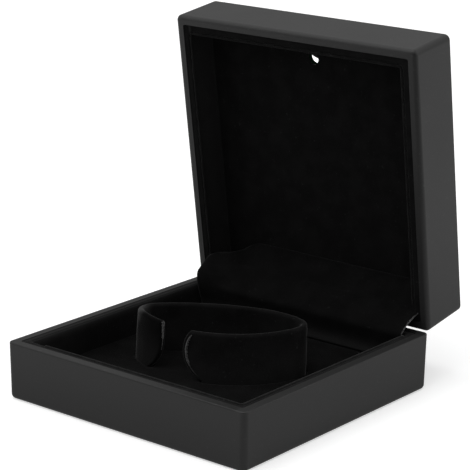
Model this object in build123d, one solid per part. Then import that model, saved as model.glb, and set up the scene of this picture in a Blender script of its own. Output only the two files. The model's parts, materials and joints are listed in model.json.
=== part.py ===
from build123d import *
import math
import os

# Lighted bracelet box, drawn in millimetres with its lid open.
# X runs along the hinge, Y from the front to the hinge side, Z up.
# The origin is the middle of the underside. Lid pieces are drawn shut and then swung open.

# How far a cut runs past the piece that it is made in
OVERCUT = 1.0

# Outer case
CASE_WIDTH = 100.0
CASE_DEPTH = 98.4
BASE_HEIGHT = 19.7
LID_HEIGHT = 20.4
RIM_GAP = 0.3
WALL = 3.1
FLOOR = 2.2
ROOF = 2.2
SIDE_ROUND = 2.0
FOOT_ROUND = 1.7
BASE_RIM_ROUND = 0.4
LID_RIM_ROUND = 1.5
ROOF_ROUND = 0.9
INNER_ROUND = 0.8
BASE_DRAFT = 0.26
LID_DRAFT = 0.15
RIB = 1.2
RIB_SPACING = 30.0
FLOOR_RIB_INSET = 14.0

# Hinge line and how far the lid stands open
OPEN_ANGLE = 81.7
HINGE_INSET = 0.3
HINGE_RISE = 0.35
HINGE_LENGTH = 64.0
KNUCKLES = 5
KNUCKLE_RADIUS = 1.3
KNUCKLE_GAP = 0.3
KNUCKLE_ROOM = 0.35
PIN_RADIUS = 0.6
PIN_CLEARANCE = 0.05
PIN_OVERHANG = 0.4
LEAF_SHEET = 0.6
LEAF_REACH = 6.8
LEAF_SINK = 0.05
LEAF_CORNER = 1.5
SCREW_DEPTH_ON_LEAF = 3.0
SCREW_SPACING = 26.0
SCREW_HEAD_RADIUS = 1.5
SCREW_HEAD_HEIGHT = 0.8
SCREW_HEAD_BEVEL = 0.3
SCREW_RADIUS = 0.8
SCREW_GRIP = 2.1
DRIVE_SLOT = 0.4
HOLE_CLEARANCE = 0.15

# Bow springs
BOW_SPACING = 27.0
BOW_WIDTH = 6.0
BOW_SHEET = 0.4
BOW_RISE = 5.5
BOW_SLOT_HEIGHT = 1.6
BOW_SLOT_DEPTH_ON_LEAF = 5.6
BOW_BITE = 0.25

# Flocked liners
LINER_SHEET = 1.0
LINER_CLEARANCE = 0.1
FLANGE_WIDTH = 2.4
FLANGE_DROP = 0.15
WELL_ROUND = 1.6
WELL_DRAFT = 0.35
LIP_ROUND = 0.6
LID_WELL_DEPTH = 11.3
WINDOW_CLEARANCE = 2.0
WINDOW_DEPTH = 8.3
WINDOW_LIP = 2.9

# Pad and bangle holder
PAD_TOP = 9.6
PAD_THICKNESS = 3.0
PAD_CLEARANCE = 0.3
PAD_ROUND = 0.9
SLIT_CLEARANCE = 0.15
HOLDER_TOP = 26.4
HOLDER_START = (-2.7, -16.55)
HOLDER_HEADING = 5.3
HOLDER_RADII = (31.8, 29.1, 6.8, 28.1, 65.3, 5.3, 41.3)
HOLDER_TURNS = (45.9, 30.0, 81.7, 31.1, 33.3, 105.4, 20.0)
HOLDER_FLARE = 1.0
HOLDER_CORE = 1.0
HOLDER_PILE = 0.55
HOLDER_FIT = 0.08
LEFT_TIP_X = -11.8
LEFT_TIP_Z = 20.0
LEFT_TIP_RADIUS = 12.5
RIGHT_TIP_X = -2.0
RIGHT_TIP_Z = 19.4
RIGHT_TIP_RADIUS = 9.8

# Velvet strip over the hinge
COVER_SHEET = 0.6
COVER_CLEARANCE = 0.3
COVER_END_CLEARANCE = 0.35
COVER_HEM = 7.2
COVER_LOOSE_HEM = 1.6
COVER_RIM_STAND = 2.7
COVER_BULGE = 1.9
COVER_LOOSE_BULGE = 4.6
COVER_FOLD = 2.6
COVER_LOOSE_END = 15.0
COVER_STEPS = 14

# Lamp unit behind the lid panel
LAMP_INSET = 12.4
LAMP_HOLE_RADIUS = 2.3
LAMP_RADIUS = 2.4
LAMP_FLANGE_RADIUS = 2.8
LAMP_FLANGE = 0.8
LAMP_RECESS = 2.2
HOUSING_WIDTH = 24.4
HOUSING_INSET = 2.5
HOUSING_LENGTH = 36.0
HOUSING_WALL = 0.9
HOUSING_ROOF_GAP = 0.1
HOUSING_COVER_GAP = 0.3
BOARD_THICKNESS = 0.8
BOARD_WIDTH = 22.0
BOARD_LENGTH = 11.6
BOARD_DROP = 1.7
RESISTOR = (2.0, 1.25, 0.6)
RESISTOR_PLACE = 7.0
CELL_RADIUS = 10.0
CELL_THICKNESS = 3.2
CELL_INSET = 11.6
CELL_STEP = 0.6
CONTACT_SHEET = 0.3
CONTACT_WIDTH = 5.0
CONTACT_LAP = 1.0
CONTACT_BOW_REACH = 7.0
CELL_COVER_SHEET = 0.6
GRIP_GROOVES = 3
HOUSING_FIT = 0.15
CELL_POCKET_CLEARANCE = 0.3
EAR_REACH = 15.2
EAR_RADIUS = 2.6
EAR_THICKNESS = 1.2
BOSS_HEIGHT = 0.8

# Switch beside the hinge
SWITCH_GAP = 2.5
SWITCH_WIDTH = 6.0
SWITCH_DEPTH = 2.5
SWITCH_HEIGHT = 6.0
SWITCH_STANDOFF = 1.5
SWITCH_WALL = 0.5
BLADE_WIDTH = 3.0
BLADE_SHEET = 1.0
BLADE_LENGTH = 4.6
BLADE_CLEARANCE = 0.1
SWITCH_TRAVEL = 1.0
TOUCH_GAP = 0.3
LEAF_SPRING_SHEET = 0.2
WIRE_RADIUS = 0.45
WIRE_SIDES = 8
WIRE_PITCH = 1.8
WIRE_CLEARANCE = 0.05
WIRE_ENTRY = 8.35
BEND_SHARE = 0.45

# Places that follow from the sizes above
BACK = CASE_DEPTH / 2
INNER_WIDTH = CASE_WIDTH - 2 * WALL
INNER_DEPTH = CASE_DEPTH - 2 * WALL
INNER_BACK = INNER_DEPTH / 2
LID_RIM = BASE_HEIGHT + RIM_GAP
LID_TOP = LID_RIM + LID_HEIGHT
ROOF_UNDER = LID_TOP - ROOF
PIVOT_Y = BACK - HINGE_INSET
PIVOT_Z = BASE_HEIGHT + HINGE_RISE
HINGE_AXIS = Axis((0, PIVOT_Y, PIVOT_Z), (1, 0, 0))
WELL_WIDTH = INNER_WIDTH - 2 * FLANGE_WIDTH
WELL_LENGTH = INNER_DEPTH - 2 * FLANGE_WIDTH
WELL_BACK = WELL_LENGTH / 2
BASE_FLANGE_TOP = BASE_HEIGHT - FLANGE_DROP
LID_FLANGE_FACE = LID_RIM + FLANGE_DROP
TRAY_FLOOR = PAD_TOP - PAD_THICKNESS
TRAY_UNDER = TRAY_FLOOR - LINER_SHEET
PANEL_FACE = LID_RIM + LID_WELL_DEPTH
PANEL_BACK = PANEL_FACE + LINER_SHEET
HOLDER_FOOT = TRAY_FLOOR + SLIT_CLEARANCE
HOLDER_THICKNESS = HOLDER_CORE + 2 * HOLDER_PILE
LAMP_Y = LAMP_INSET - BACK
HOUSING_FRONT = HOUSING_INSET - INNER_BACK
HOUSING_BACK = HOUSING_FRONT + HOUSING_LENGTH
CELL_Y = HOUSING_BACK - CELL_INSET
HOUSING_TOP = ROOF_UNDER - HOUSING_ROOF_GAP
HOUSING_LOW = PANEL_BACK + HOUSING_COVER_GAP + CELL_COVER_SHEET
BOARD_TOP = HOUSING_TOP - BOARD_DROP
BOARD_LOW = BOARD_TOP - BOARD_THICKNESS
BOARD_FRONT = HOUSING_FRONT + HOUSING_WALL + HOUSING_FIT
CELL_TOP = HOUSING_TOP - HOUSING_WALL - CONTACT_SHEET
SWITCH_X = HINGE_LENGTH / 2 + SWITCH_GAP + SWITCH_WIDTH / 2
SWITCH_LOW = LID_RIM + SWITCH_STANDOFF
HINGE_WINDOW = HINGE_LENGTH + 2 * WINDOW_CLEARANCE
LID_HINGE_WINDOW = 2 * SWITCH_X + SWITCH_WIDTH + WINDOW_CLEARANCE
BLADE_TIP_SHUT = BASE_FLANGE_TOP + TOUCH_GAP
BLADE_Y = INNER_BACK - SWITCH_WALL - BLADE_CLEARANCE - BLADE_SHEET / 2


def block(x0, x1, y0, y1, z0, z1):
    """A plain block between two corners."""
    middle = Pos((x0 + x1) / 2, (y0 + y1) / 2, (z0 + z1) / 2)
    return middle * Box(x1 - x0, y1 - y0, z1 - z0)


def rounded_block(width, depth, z0, z1, corner, draft0=0.0, draft1=0.0):
    """A block with rounded upright corners, drawn in by a draft at either end."""
    low = Pos(0, 0, z0) * RectangleRounded(width - 2 * draft0, depth - 2 * draft0, corner)
    high = Pos(0, 0, z1) * RectangleRounded(width - 2 * draft1, depth - 2 * draft1, corner)
    return loft([low, high], ruled=True)


def rod_x(radius, x0, x1, y, z):
    """A round bar along X."""
    return Pos((x0 + x1) / 2, y, z) * Rot(0, 90, 0) * Cylinder(radius, x1 - x0)


def rod_y(radius, y0, y1, x, z):
    """A round bar along Y."""
    return Pos(x, (y0 + y1) / 2, z) * Rot(90, 0, 0) * Cylinder(radius, y1 - y0)


def rod_z(radius, z0, z1, x, y):
    """A round bar along Z."""
    return Pos(x, y, (z0 + z1) / 2) * Cylinder(radius, z1 - z0)


def opened(shape):
    """Swing a lid piece from shut to open."""
    return shape.rotate(HINGE_AXIS, -OPEN_ANGLE)


def opened_point(y, z):
    """Where a point of the shut lid lies, in the side view, once the lid is open."""
    angle = math.radians(OPEN_ANGLE)
    along = y - PIVOT_Y
    up = z - PIVOT_Z
    return (PIVOT_Y + along * math.cos(angle) + up * math.sin(angle),
            PIVOT_Z - along * math.sin(angle) + up * math.cos(angle))


def across(face, x0, x1):
    """Stretch a side view face from x0 to x1."""
    return Pos(x0, 0, 0) * extrude(face, amount=x1 - x0, dir=(1, 0, 0))


def mirrored_places(spacing):
    """Three places in a row, the middle one at zero."""
    return (-spacing, 0.0, spacing)


# Case shells

def wall_ribs(z0, z1):
    """Short upright ribs inside the walls, which the liner flange rests on."""
    reach = FLANGE_WIDTH - LINER_SHEET - 2 * LINER_CLEARANCE
    ribs = []
    for place in mirrored_places(RIB_SPACING):
        for side in (-1, 1):
            wall = side * INNER_WIDTH / 2
            tip = wall - side * reach
            ribs.append(block(min(wall, tip), max(wall, tip), place - RIB / 2, place + RIB / 2, z0, z1))
        ribs.append(block(place - RIB / 2, place + RIB / 2, -INNER_BACK, -INNER_BACK + reach, z0, z1))
    return ribs


def knuckle_room():
    """The round groove in both back walls that the hinge barrel turns in."""
    half = HINGE_LENGTH / 2 + PIN_OVERHANG + KNUCKLE_GAP
    return rod_x(KNUCKLE_RADIUS + KNUCKLE_ROOM, -half, half, PIVOT_Y, PIVOT_Z)


def leaf_recess(z0, z1):
    """The shallow recess over the back wall that a hinge leaf crosses in."""
    half = HINGE_LENGTH / 2 + KNUCKLE_GAP
    return block(-half, half, INNER_BACK - RIB, PIVOT_Y, z0, z1)


def base_shell():
    """The lower case, a drafted box with ribs for the liner and grooves for the hinge."""
    shell = rounded_block(CASE_WIDTH, CASE_DEPTH, 0, BASE_HEIGHT, SIDE_ROUND, BASE_DRAFT, 0)
    shell = fillet(shell.edges().group_by(Axis.Z)[0], min(FOOT_ROUND, SIDE_ROUND - 0.05))
    shell = fillet(shell.edges().group_by(Axis.Z)[-1], BASE_RIM_ROUND)
    shell -= rounded_block(INNER_WIDTH, INNER_DEPTH, FLOOR, BASE_HEIGHT + WALL, INNER_ROUND)
    for rib in wall_ribs(FLOOR, BASE_FLANGE_TOP - LINER_SHEET):
        shell += rib
    reach_x = INNER_WIDTH / 2 - FLOOR_RIB_INSET
    reach_y = INNER_BACK - FLOOR_RIB_INSET
    for place in (-RIB_SPACING / 2, RIB_SPACING / 2):
        shell += block(-reach_x, reach_x, place - RIB / 2, place + RIB / 2, FLOOR, TRAY_UNDER)
        shell += block(place - RIB / 2, place + RIB / 2, -reach_y, reach_y, FLOOR, TRAY_UNDER)
    shell -= knuckle_room()
    shell -= leaf_recess(BASE_HEIGHT - LEAF_SINK - LEAF_SHEET, BASE_HEIGHT + RIM_GAP)
    z = BASE_HEIGHT - LEAF_SINK - LEAF_SHEET - SCREW_DEPTH_ON_LEAF
    for x in mirrored_places(SCREW_SPACING):
        shell -= rod_y(SCREW_RADIUS, INNER_BACK, INNER_BACK + SCREW_GRIP, x, z)
    return shell


def lid_shell():
    """The upper case, with a softly rounded rim and two bosses for the lamp unit."""
    shell = rounded_block(CASE_WIDTH, CASE_DEPTH, LID_RIM, LID_TOP, SIDE_ROUND, 0, LID_DRAFT)
    shell = fillet(shell.edges().group_by(Axis.Z)[-1], ROOF_ROUND)
    shell = fillet(shell.edges().group_by(Axis.Z)[0], min(LID_RIM_ROUND, SIDE_ROUND - 0.05))
    shell -= rounded_block(INNER_WIDTH, INNER_DEPTH, LID_RIM - WALL, ROOF_UNDER, INNER_ROUND)
    for rib in wall_ribs(LID_FLANGE_FACE + LINER_SHEET, ROOF_UNDER):
        shell += rib
    for side in (-1, 1):
        x = side * EAR_REACH
        shell += rod_z(EAR_RADIUS, ROOF_UNDER - BOSS_HEIGHT, ROOF_UNDER, x, CELL_Y)
        shell -= rod_z(SCREW_RADIUS, ROOF_UNDER - BOSS_HEIGHT, ROOF_UNDER + ROOF / 2, x, CELL_Y)
    shell -= knuckle_room()
    shell -= leaf_recess(LID_RIM - RIM_GAP, LID_RIM + LEAF_SINK + LEAF_SHEET)
    z = LID_RIM + LEAF_SINK + LEAF_SHEET + SCREW_DEPTH_ON_LEAF
    for x in mirrored_places(SCREW_SPACING):
        shell -= rod_y(SCREW_RADIUS, INNER_BACK, INNER_BACK + SCREW_GRIP, x, z)
    return opened(shell)


# Flocked liners

def liner(flange_face, well_floor, window_width, window_edge):
    """A thin tray with a flange, its inner edge rounded, open over the hinge at the back."""
    up = 1 if flange_face > well_floor else -1
    sheet = up * LINER_SHEET
    outer_width = WELL_WIDTH + 2 * LINER_SHEET
    outer_length = WELL_LENGTH + 2 * LINER_SHEET
    corner = WELL_ROUND + LINER_SHEET
    flange = rounded_block(INNER_WIDTH - 2 * LINER_CLEARANCE, INNER_DEPTH - 2 * LINER_CLEARANCE,
                           min(flange_face, flange_face - sheet), max(flange_face, flange_face - sheet),
                           INNER_ROUND)
    if up == 1:
        tub = rounded_block(outer_width, outer_length, well_floor - sheet, flange_face - sheet / 2,
                            corner, WELL_DRAFT, 0)
        hollow = rounded_block(WELL_WIDTH, WELL_LENGTH, well_floor, flange_face, WELL_ROUND, WELL_DRAFT, 0)
    else:
        tub = rounded_block(outer_width, outer_length, flange_face - sheet / 2, well_floor - sheet,
                            corner, 0, WELL_DRAFT)
        hollow = rounded_block(WELL_WIDTH, WELL_LENGTH, flange_face, well_floor, WELL_ROUND, 0, WELL_DRAFT)
    tray = flange + tub - hollow
    edges = tray.edges().group_by(Axis.Z)[-1 if up == 1 else 0]
    lip = [edge for edge in edges if abs(edge.center().X) < WELL_WIDTH / 2 + LINER_CLEARANCE
           and abs(edge.center().Y) < WELL_LENGTH / 2 + LINER_CLEARANCE]
    tray = fillet(lip, LIP_ROUND)
    reach = WELL_BACK - WELL_DRAFT - LINER_CLEARANCE
    return tray - block(-window_width / 2, window_width / 2, reach, BACK,
                        min(window_edge, flange_face + sheet), max(window_edge, flange_face + sheet))


def base_liner():
    return liner(BASE_FLANGE_TOP, TRAY_FLOOR, HINGE_WINDOW, PAD_TOP + WINDOW_LIP)


def lid_liner():
    tray = liner(LID_FLANGE_FACE, PANEL_FACE, LID_HINGE_WINDOW, LID_RIM + WINDOW_DEPTH)
    tray -= rod_z(LAMP_HOLE_RADIUS, PANEL_FACE - LINER_SHEET, PANEL_BACK + LINER_SHEET, 0, LAMP_Y)
    return opened(tray)


# Bangle holder and its pad

def facing(degrees):
    """The direction that faces out of the holder where its strip has that heading."""
    return Vector(math.sin(math.radians(degrees)), -math.cos(math.radians(degrees)))


def holder_radii(z):
    """The radius of each bend at a height.

    The right half stands upright. The two bends at the left are wider at the foot, by the
    flare, and the two long bends at the back change so that the halves still meet.
    """
    radii = list(HOLDER_RADII)
    headings = [HOLDER_HEADING]
    for degrees in HOLDER_TURNS:
        headings.append(headings[-1] + degrees)
    flare = HOLDER_FLARE * (HOLDER_TOP - z) / (HOLDER_TOP - HOLDER_FOOT)
    first = facing(headings[4]) - facing(headings[3])
    second = facing(headings[5]) - facing(headings[4])
    shift = facing(headings[5]) * flare
    area = first.X * second.Y - first.Y * second.X
    radii[3] += (shift.X * second.Y - shift.Y * second.X) / area
    radii[4] += (first.X * shift.Y - first.Y * shift.X) / area
    radii[5] += flare
    radii[6] += flare
    return radii


def holder_outline(z, thickness):
    """The strip seen from above at a height, one bend after another from the right tip.

    The bends are those of a strip bent by hand: two tight ones near the ends of an oval
    and long slack ones between them.
    """
    x, y = HOLDER_START
    heading = math.radians(HOLDER_HEADING)
    sides = ([], [])
    for radius, degrees in zip(holder_radii(z), HOLDER_TURNS):
        turn = math.radians(degrees)
        centre_x = x - radius * math.sin(heading)
        centre_y = y + radius * math.cos(heading)
        for arcs, side_radius in zip(sides, (radius - thickness / 2, radius + thickness / 2)):
            points = []
            for share in (0, 0.5, 1):
                direction = heading + share * turn
                points.append((centre_x + side_radius * math.sin(direction),
                               centre_y - side_radius * math.cos(direction), z))
            arcs.append(ThreePointArc(*points))
        heading += turn
        x = centre_x + radius * math.sin(heading)
        y = centre_y - radius * math.cos(heading)
    inner, outer = sides
    ends = [Line(inner[0] @ 0, outer[0] @ 0), Line(inner[-1] @ 1, outer[-1] @ 1)]
    return make_face(inner + outer + ends)


def holder_band(z0, z1, thickness):
    """The standing strip between two heights."""
    return loft([holder_outline(z0, thickness), holder_outline(z1, thickness)], ruled=True)


def holder_opening(setback):
    """What is cut out between the rounded tips, each set back by the pile that wraps it."""
    left = LEFT_TIP_X - setback
    right = RIGHT_TIP_X + setback
    low = HOLDER_FOOT - OVERCUT
    high = HOLDER_TOP + OVERCUT
    front = HOLDER_START[1] - 2 * HOLDER_THICKNESS
    rear = HOLDER_START[1] + 4 * HOLDER_THICKNESS
    cutter = block(left - LEFT_TIP_RADIUS, right + RIGHT_TIP_RADIUS, front, rear, low, high)
    cutter -= rod_y(LEFT_TIP_RADIUS, front, rear, left - LEFT_TIP_RADIUS, LEFT_TIP_Z)
    cutter -= block(left - LEFT_TIP_RADIUS, left, front, rear, LEFT_TIP_Z, high)
    cutter -= rod_y(RIGHT_TIP_RADIUS, front, rear, right + RIGHT_TIP_RADIUS, RIGHT_TIP_Z)
    return cutter


def holder_core():
    """The bent strip inside the holder."""
    strip = holder_band(HOLDER_FOOT, HOLDER_TOP - HOLDER_PILE, HOLDER_CORE)
    return strip - holder_opening(HOLDER_PILE)


def holder_cover():
    """The velvet sleeve over the strip, round at its top and its two tips."""
    sleeve = holder_band(HOLDER_FOOT, HOLDER_TOP, HOLDER_THICKNESS)
    sleeve = fillet(sleeve.edges().group_by(Axis.Z)[-1], HOLDER_PILE)
    sleeve -= holder_opening(0)
    hollow = holder_band(HOLDER_FOOT - OVERCUT, HOLDER_TOP - HOLDER_PILE + HOLDER_FIT,
                         HOLDER_CORE + 2 * HOLDER_FIT)
    return sleeve - (hollow - holder_opening(HOLDER_PILE - HOLDER_FIT))


def platform_pad():
    """The velvet covered pad on the tray floor, slit along the holder."""
    inset = WELL_DRAFT + PAD_CLEARANCE
    pad = rounded_block(WELL_WIDTH - 2 * inset, WELL_LENGTH - 2 * inset, TRAY_FLOOR, PAD_TOP, WELL_ROUND)
    pad = fillet(pad.edges().group_by(Axis.Z)[-1], PAD_ROUND)
    slit = holder_band(TRAY_FLOOR - OVERCUT, PAD_TOP + OVERCUT, HOLDER_THICKNESS + 2 * SLIT_CLEARANCE)
    return pad - (slit - holder_opening(-SLIT_CLEARANCE))


# Hinge

def knuckle_spans(first):
    """The stretches of the barrel that belong to one leaf, every second one."""
    pitch = HINGE_LENGTH / KNUCKLES
    spans = []
    for i in range(first, KNUCKLES, 2):
        start = -HINGE_LENGTH / 2 + i * pitch
        spans.append((start + KNUCKLE_GAP / 2, start + pitch - KNUCKLE_GAP / 2))
    return spans


def hinge_leaf(bar_low, up, first, bore):
    """A pressed leaf: knuckles, a bar across the wall and a plate down its inner face."""
    half = HINGE_LENGTH / 2
    bar_high = bar_low + LEAF_SHEET
    edge = PIVOT_Y - KNUCKLE_RADIUS - KNUCKLE_ROOM
    face = INNER_BACK - LEAF_SHEET
    near = bar_low if up == 1 else bar_high
    far = near + up * (LEAF_SHEET + LEAF_REACH)
    leaf = block(-half, half, face, INNER_BACK, min(near, far), max(near, far))
    corners = [e for e in leaf.edges().filter_by(Axis.Y) if abs(e.center().Z - far) < LINER_CLEARANCE]
    leaf = fillet(corners, LEAF_CORNER)
    leaf += block(-half, half, face, edge, bar_low, bar_high)
    for x0, x1 in knuckle_spans(first):
        leaf += block(x0, x1, edge - LEAF_SHEET, PIVOT_Y, bar_low, bar_high)
        leaf += rod_x(KNUCKLE_RADIUS, x0, x1, PIVOT_Y, PIVOT_Z)
        leaf -= rod_x(bore, x0, x1, PIVOT_Y, PIVOT_Z)
    hole_z = near + up * (LEAF_SHEET + SCREW_DEPTH_ON_LEAF)
    for x in mirrored_places(SCREW_SPACING):
        leaf -= rod_y(SCREW_RADIUS + HOLE_CLEARANCE, face - OVERCUT, INNER_BACK + OVERCUT, x, hole_z)
    slot_z = near + up * BOW_SLOT_DEPTH_ON_LEAF
    slot_half = BOW_WIDTH / 2 + HOLE_CLEARANCE
    for x in (-BOW_SPACING / 2, BOW_SPACING / 2):
        leaf -= block(x - slot_half, x + slot_half, face - OVERCUT, INNER_BACK + OVERCUT,
                      slot_z - BOW_SLOT_HEIGHT / 2, slot_z + BOW_SLOT_HEIGHT / 2)
    return leaf


def base_hinge_leaf():
    return hinge_leaf(BASE_HEIGHT - LEAF_SINK - LEAF_SHEET, -1, 0, PIN_RADIUS)


def lid_hinge_leaf():
    return opened(hinge_leaf(LID_RIM + LEAF_SINK, 1, 1, PIN_RADIUS + PIN_CLEARANCE))


def hinge_pin():
    """The pin through all knuckles, chamfered at both ends."""
    half = HINGE_LENGTH / 2 + PIN_OVERHANG
    pin = rod_x(PIN_RADIUS, -half, half, PIVOT_Y, PIVOT_Z)
    return chamfer(pin.edges(), PIN_RADIUS / 4)


def leaf_screws(z):
    """Three small pan head screws through a leaf into the back wall."""
    face = INNER_BACK - LEAF_SHEET
    screws = []
    for x in mirrored_places(SCREW_SPACING):
        head = rod_y(SCREW_HEAD_RADIUS, face - SCREW_HEAD_HEIGHT, face, x, z)
        head = chamfer(head.edges().group_by(Axis.Y)[0], SCREW_HEAD_BEVEL)
        reach = SCREW_HEAD_RADIUS / 2
        outer = face - SCREW_HEAD_HEIGHT
        for half_x, half_z in ((reach, DRIVE_SLOT / 2), (DRIVE_SLOT / 2, reach)):
            head -= block(x - half_x, x + half_x, outer, outer + DRIVE_SLOT, z - half_z, z + half_z)
        screws.append(head + rod_y(SCREW_RADIUS, face, INNER_BACK + SCREW_GRIP, x, z))
    return screws


def base_hinge_screws():
    return Compound(children=leaf_screws(BASE_HEIGHT - LEAF_SINK - LEAF_SHEET - SCREW_DEPTH_ON_LEAF))


def lid_hinge_screws():
    z = LID_RIM + LEAF_SINK + LEAF_SHEET + SCREW_DEPTH_ON_LEAF
    return Compound(children=[opened(screw) for screw in leaf_screws(z)])


def bow_springs():
    """Two bent strips whose ends bite into the leaves, bowed over the barrel."""
    tip = INNER_BACK - LEAF_SHEET + BOW_BITE
    start = (tip, BASE_HEIGHT - LEAF_SINK - BOW_SLOT_DEPTH_ON_LEAF)
    end = opened_point(tip, LID_RIM + LEAF_SINK + BOW_SLOT_DEPTH_ON_LEAF)
    chord = math.hypot(end[0] - start[0], end[1] - start[1])
    along = ((end[0] - start[0]) / chord, (end[1] - start[1]) / chord)
    crown = ((start[0] + end[0]) / 2 - BOW_RISE * along[1], (start[1] + end[1]) / 2 + BOW_RISE * along[0])
    radius = (chord * chord / 4 + BOW_RISE * BOW_RISE) / (2 * BOW_RISE)
    centre = (crown[0] + radius * along[1], crown[1] - radius * along[0])

    def shifted(point, amount):
        scale = (radius + amount) / radius
        return (0, centre[0] + (point[0] - centre[0]) * scale, centre[1] + (point[1] - centre[1]) * scale)

    half = BOW_SHEET / 2
    outer = [shifted(point, half) for point in (start, crown, end)]
    inner = [shifted(point, -half) for point in (start, crown, end)]
    ends = Line(outer[0], inner[0]) + Line(outer[2], inner[2])
    face = make_face(ThreePointArc(*outer) + ThreePointArc(*inner) + ends)
    bows = []
    for x in (-BOW_SPACING / 2, BOW_SPACING / 2):
        bows.append(across(face, x - BOW_WIDTH / 2, x + BOW_WIDTH / 2))
    return Compound(children=bows)


def cover_section(x, line):
    """A slice of the velvet strip along a smooth line in the side view."""
    middle = Spline(*[(x, y, z) for y, z in line])
    faces = []
    for side in (-1, 1):
        points = []
        for i in range(COVER_STEPS + 1):
            along = middle % (i / COVER_STEPS)
            off = Vector(0, -along.Z, along.Y) * (side * COVER_SHEET / 2)
            points.append(middle @ (i / COVER_STEPS) + off)
        faces.append(points)
    ends = Line(faces[0][0], faces[1][0]) + Line(faces[0][-1], faces[1][-1])
    return make_face(Spline(*faces[0]) + Spline(*faces[1]) + ends), middle.length


def hinge_cover():
    """The velvet strip from the tray's back wall over the bow springs to the lid panel.

    It is glued at both long edges. At its left end it has come loose from the panel
    and stands in a larger bulge.
    """
    skin = COVER_CLEARANCE + COVER_SHEET / 2
    foot = WELL_BACK - WELL_DRAFT - skin
    glued = [(foot, PAD_TOP + LINER_CLEARANCE), (foot, PAD_TOP + WINDOW_LIP)]
    base_lip = (WELL_BACK, BASE_FLANGE_TOP)
    lid_lip = opened_point(WELL_BACK, LID_FLANGE_FACE)
    span = math.hypot(lid_lip[0] - base_lip[0], lid_lip[1] - base_lip[1])
    out = ((base_lip[1] - lid_lip[1]) / span, (lid_lip[0] - base_lip[0]) / span)
    middle = ((base_lip[0] + lid_lip[0]) / 2, (base_lip[1] + lid_lip[1]) / 2)
    tight = glued + [(base_lip[0] - COVER_RIM_STAND, base_lip[1]),
                     (middle[0] + COVER_BULGE * out[0], middle[1] + COVER_BULGE * out[1]),
                     opened_point(WELL_BACK - 2 * skin, LID_FLANGE_FACE + COVER_FOLD / 2),
                     opened_point(WELL_BACK - 2 * COVER_FOLD, PANEL_FACE - COVER_FOLD / 2),
                     opened_point(WELL_BACK - COVER_HEM, PANEL_FACE - skin)]
    crown = (middle[0] + COVER_LOOSE_BULGE * out[0], middle[1] + COVER_LOOSE_BULGE * out[1])
    loose = glued + [(base_lip[0] - COVER_RIM_STAND - skin, base_lip[1]), crown,
                     opened_point(WELL_BACK - 1.5 * COVER_FOLD, LID_FLANGE_FACE),
                     opened_point(WELL_BACK - 1.5 * COVER_FOLD, (LID_FLANGE_FACE + PANEL_FACE) / 2),
                     opened_point(WELL_BACK - COVER_LOOSE_HEM, PANEL_FACE - skin)]
    half = WELL_WIDTH / 2 - WELL_DRAFT - COVER_END_CLEARANCE
    sections = []
    for x, line in ((-half, loose), (COVER_LOOSE_END - half, tight), (half, tight)):
        face, length = cover_section(x, line)
        sections.append(face)
        print("hinge cover at", round(x, 1), "is", round(length, 1), "long across the hinge")
    return loft(sections, ruled=True)


# Lamp unit

def light_housing():
    """The moulded case of the lamp unit, with a screw ear on each side of the cell."""
    half = HOUSING_WIDTH / 2
    top = HOUSING_TOP
    case = block(-half, half, HOUSING_FRONT, HOUSING_BACK, HOUSING_LOW, top)
    case = fillet(case.edges().filter_by(Axis.Z), 2 * HOUSING_WALL)
    roof_inner = top - HOUSING_WALL
    side = half - HOUSING_WALL
    board_back = BOARD_FRONT + BOARD_LENGTH + HOUSING_FIT
    case -= block(-side, side, HOUSING_FRONT + HOUSING_WALL, board_back, HOUSING_LOW - OVERCUT, BOARD_TOP)
    case -= block(-side + HOUSING_WALL, side - HOUSING_WALL, HOUSING_FRONT + 2 * HOUSING_WALL,
                  board_back, BOARD_TOP - OVERCUT, roof_inner)
    case -= rod_z(CELL_RADIUS + CELL_POCKET_CLEARANCE, HOUSING_LOW - OVERCUT, roof_inner, 0, CELL_Y)
    case -= block(-CONTACT_WIDTH, CONTACT_WIDTH, board_back - OVERCUT, CELL_Y,
                  BOARD_TOP - OVERCUT, roof_inner)
    case -= block(side - OVERCUT, half + OVERCUT, BOARD_FRONT + BOARD_LENGTH / 2, board_back,
                  HOUSING_LOW - OVERCUT, BOARD_TOP)
    ear_top = ROOF_UNDER - BOSS_HEIGHT
    for sign in (-1, 1):
        x = sign * EAR_REACH
        ear = rod_z(EAR_RADIUS, ear_top - EAR_THICKNESS, ear_top, x, CELL_Y)
        ear += block(min(sign * (half - HOUSING_WALL / 2), x), max(sign * (half - HOUSING_WALL / 2), x),
                     CELL_Y - EAR_RADIUS, CELL_Y + EAR_RADIUS, ear_top - EAR_THICKNESS, ear_top)
        case += ear
        case -= rod_z(SCREW_RADIUS + HOLE_CLEARANCE, ear_top - 2 * EAR_THICKNESS, ear_top + OVERCUT,
                      x, CELL_Y)
        ear_low = ear_top - EAR_THICKNESS
        case -= rod_z(EAR_RADIUS, ear_low - 2 * SCREW_HEAD_HEIGHT, ear_low, x, CELL_Y)
    return opened(case)


def circuit_board():
    """The small board over the lamp."""
    board = block(-BOARD_WIDTH / 2, BOARD_WIDTH / 2, BOARD_FRONT, BOARD_FRONT + BOARD_LENGTH,
                  BOARD_LOW, BOARD_TOP)
    return opened(fillet(board.edges().filter_by(Axis.Z), BOARD_THICKNESS / 2))


def board_resistor():
    """The chip resistor beside the lamp."""
    length, width, height = RESISTOR
    chip = block(RESISTOR_PLACE - length / 2, RESISTOR_PLACE + length / 2,
                 LAMP_Y - width / 2, LAMP_Y + width / 2, BOARD_LOW - height, BOARD_LOW)
    return opened(chamfer(chip.edges().filter_by(Axis.Z), height / 8))


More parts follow.
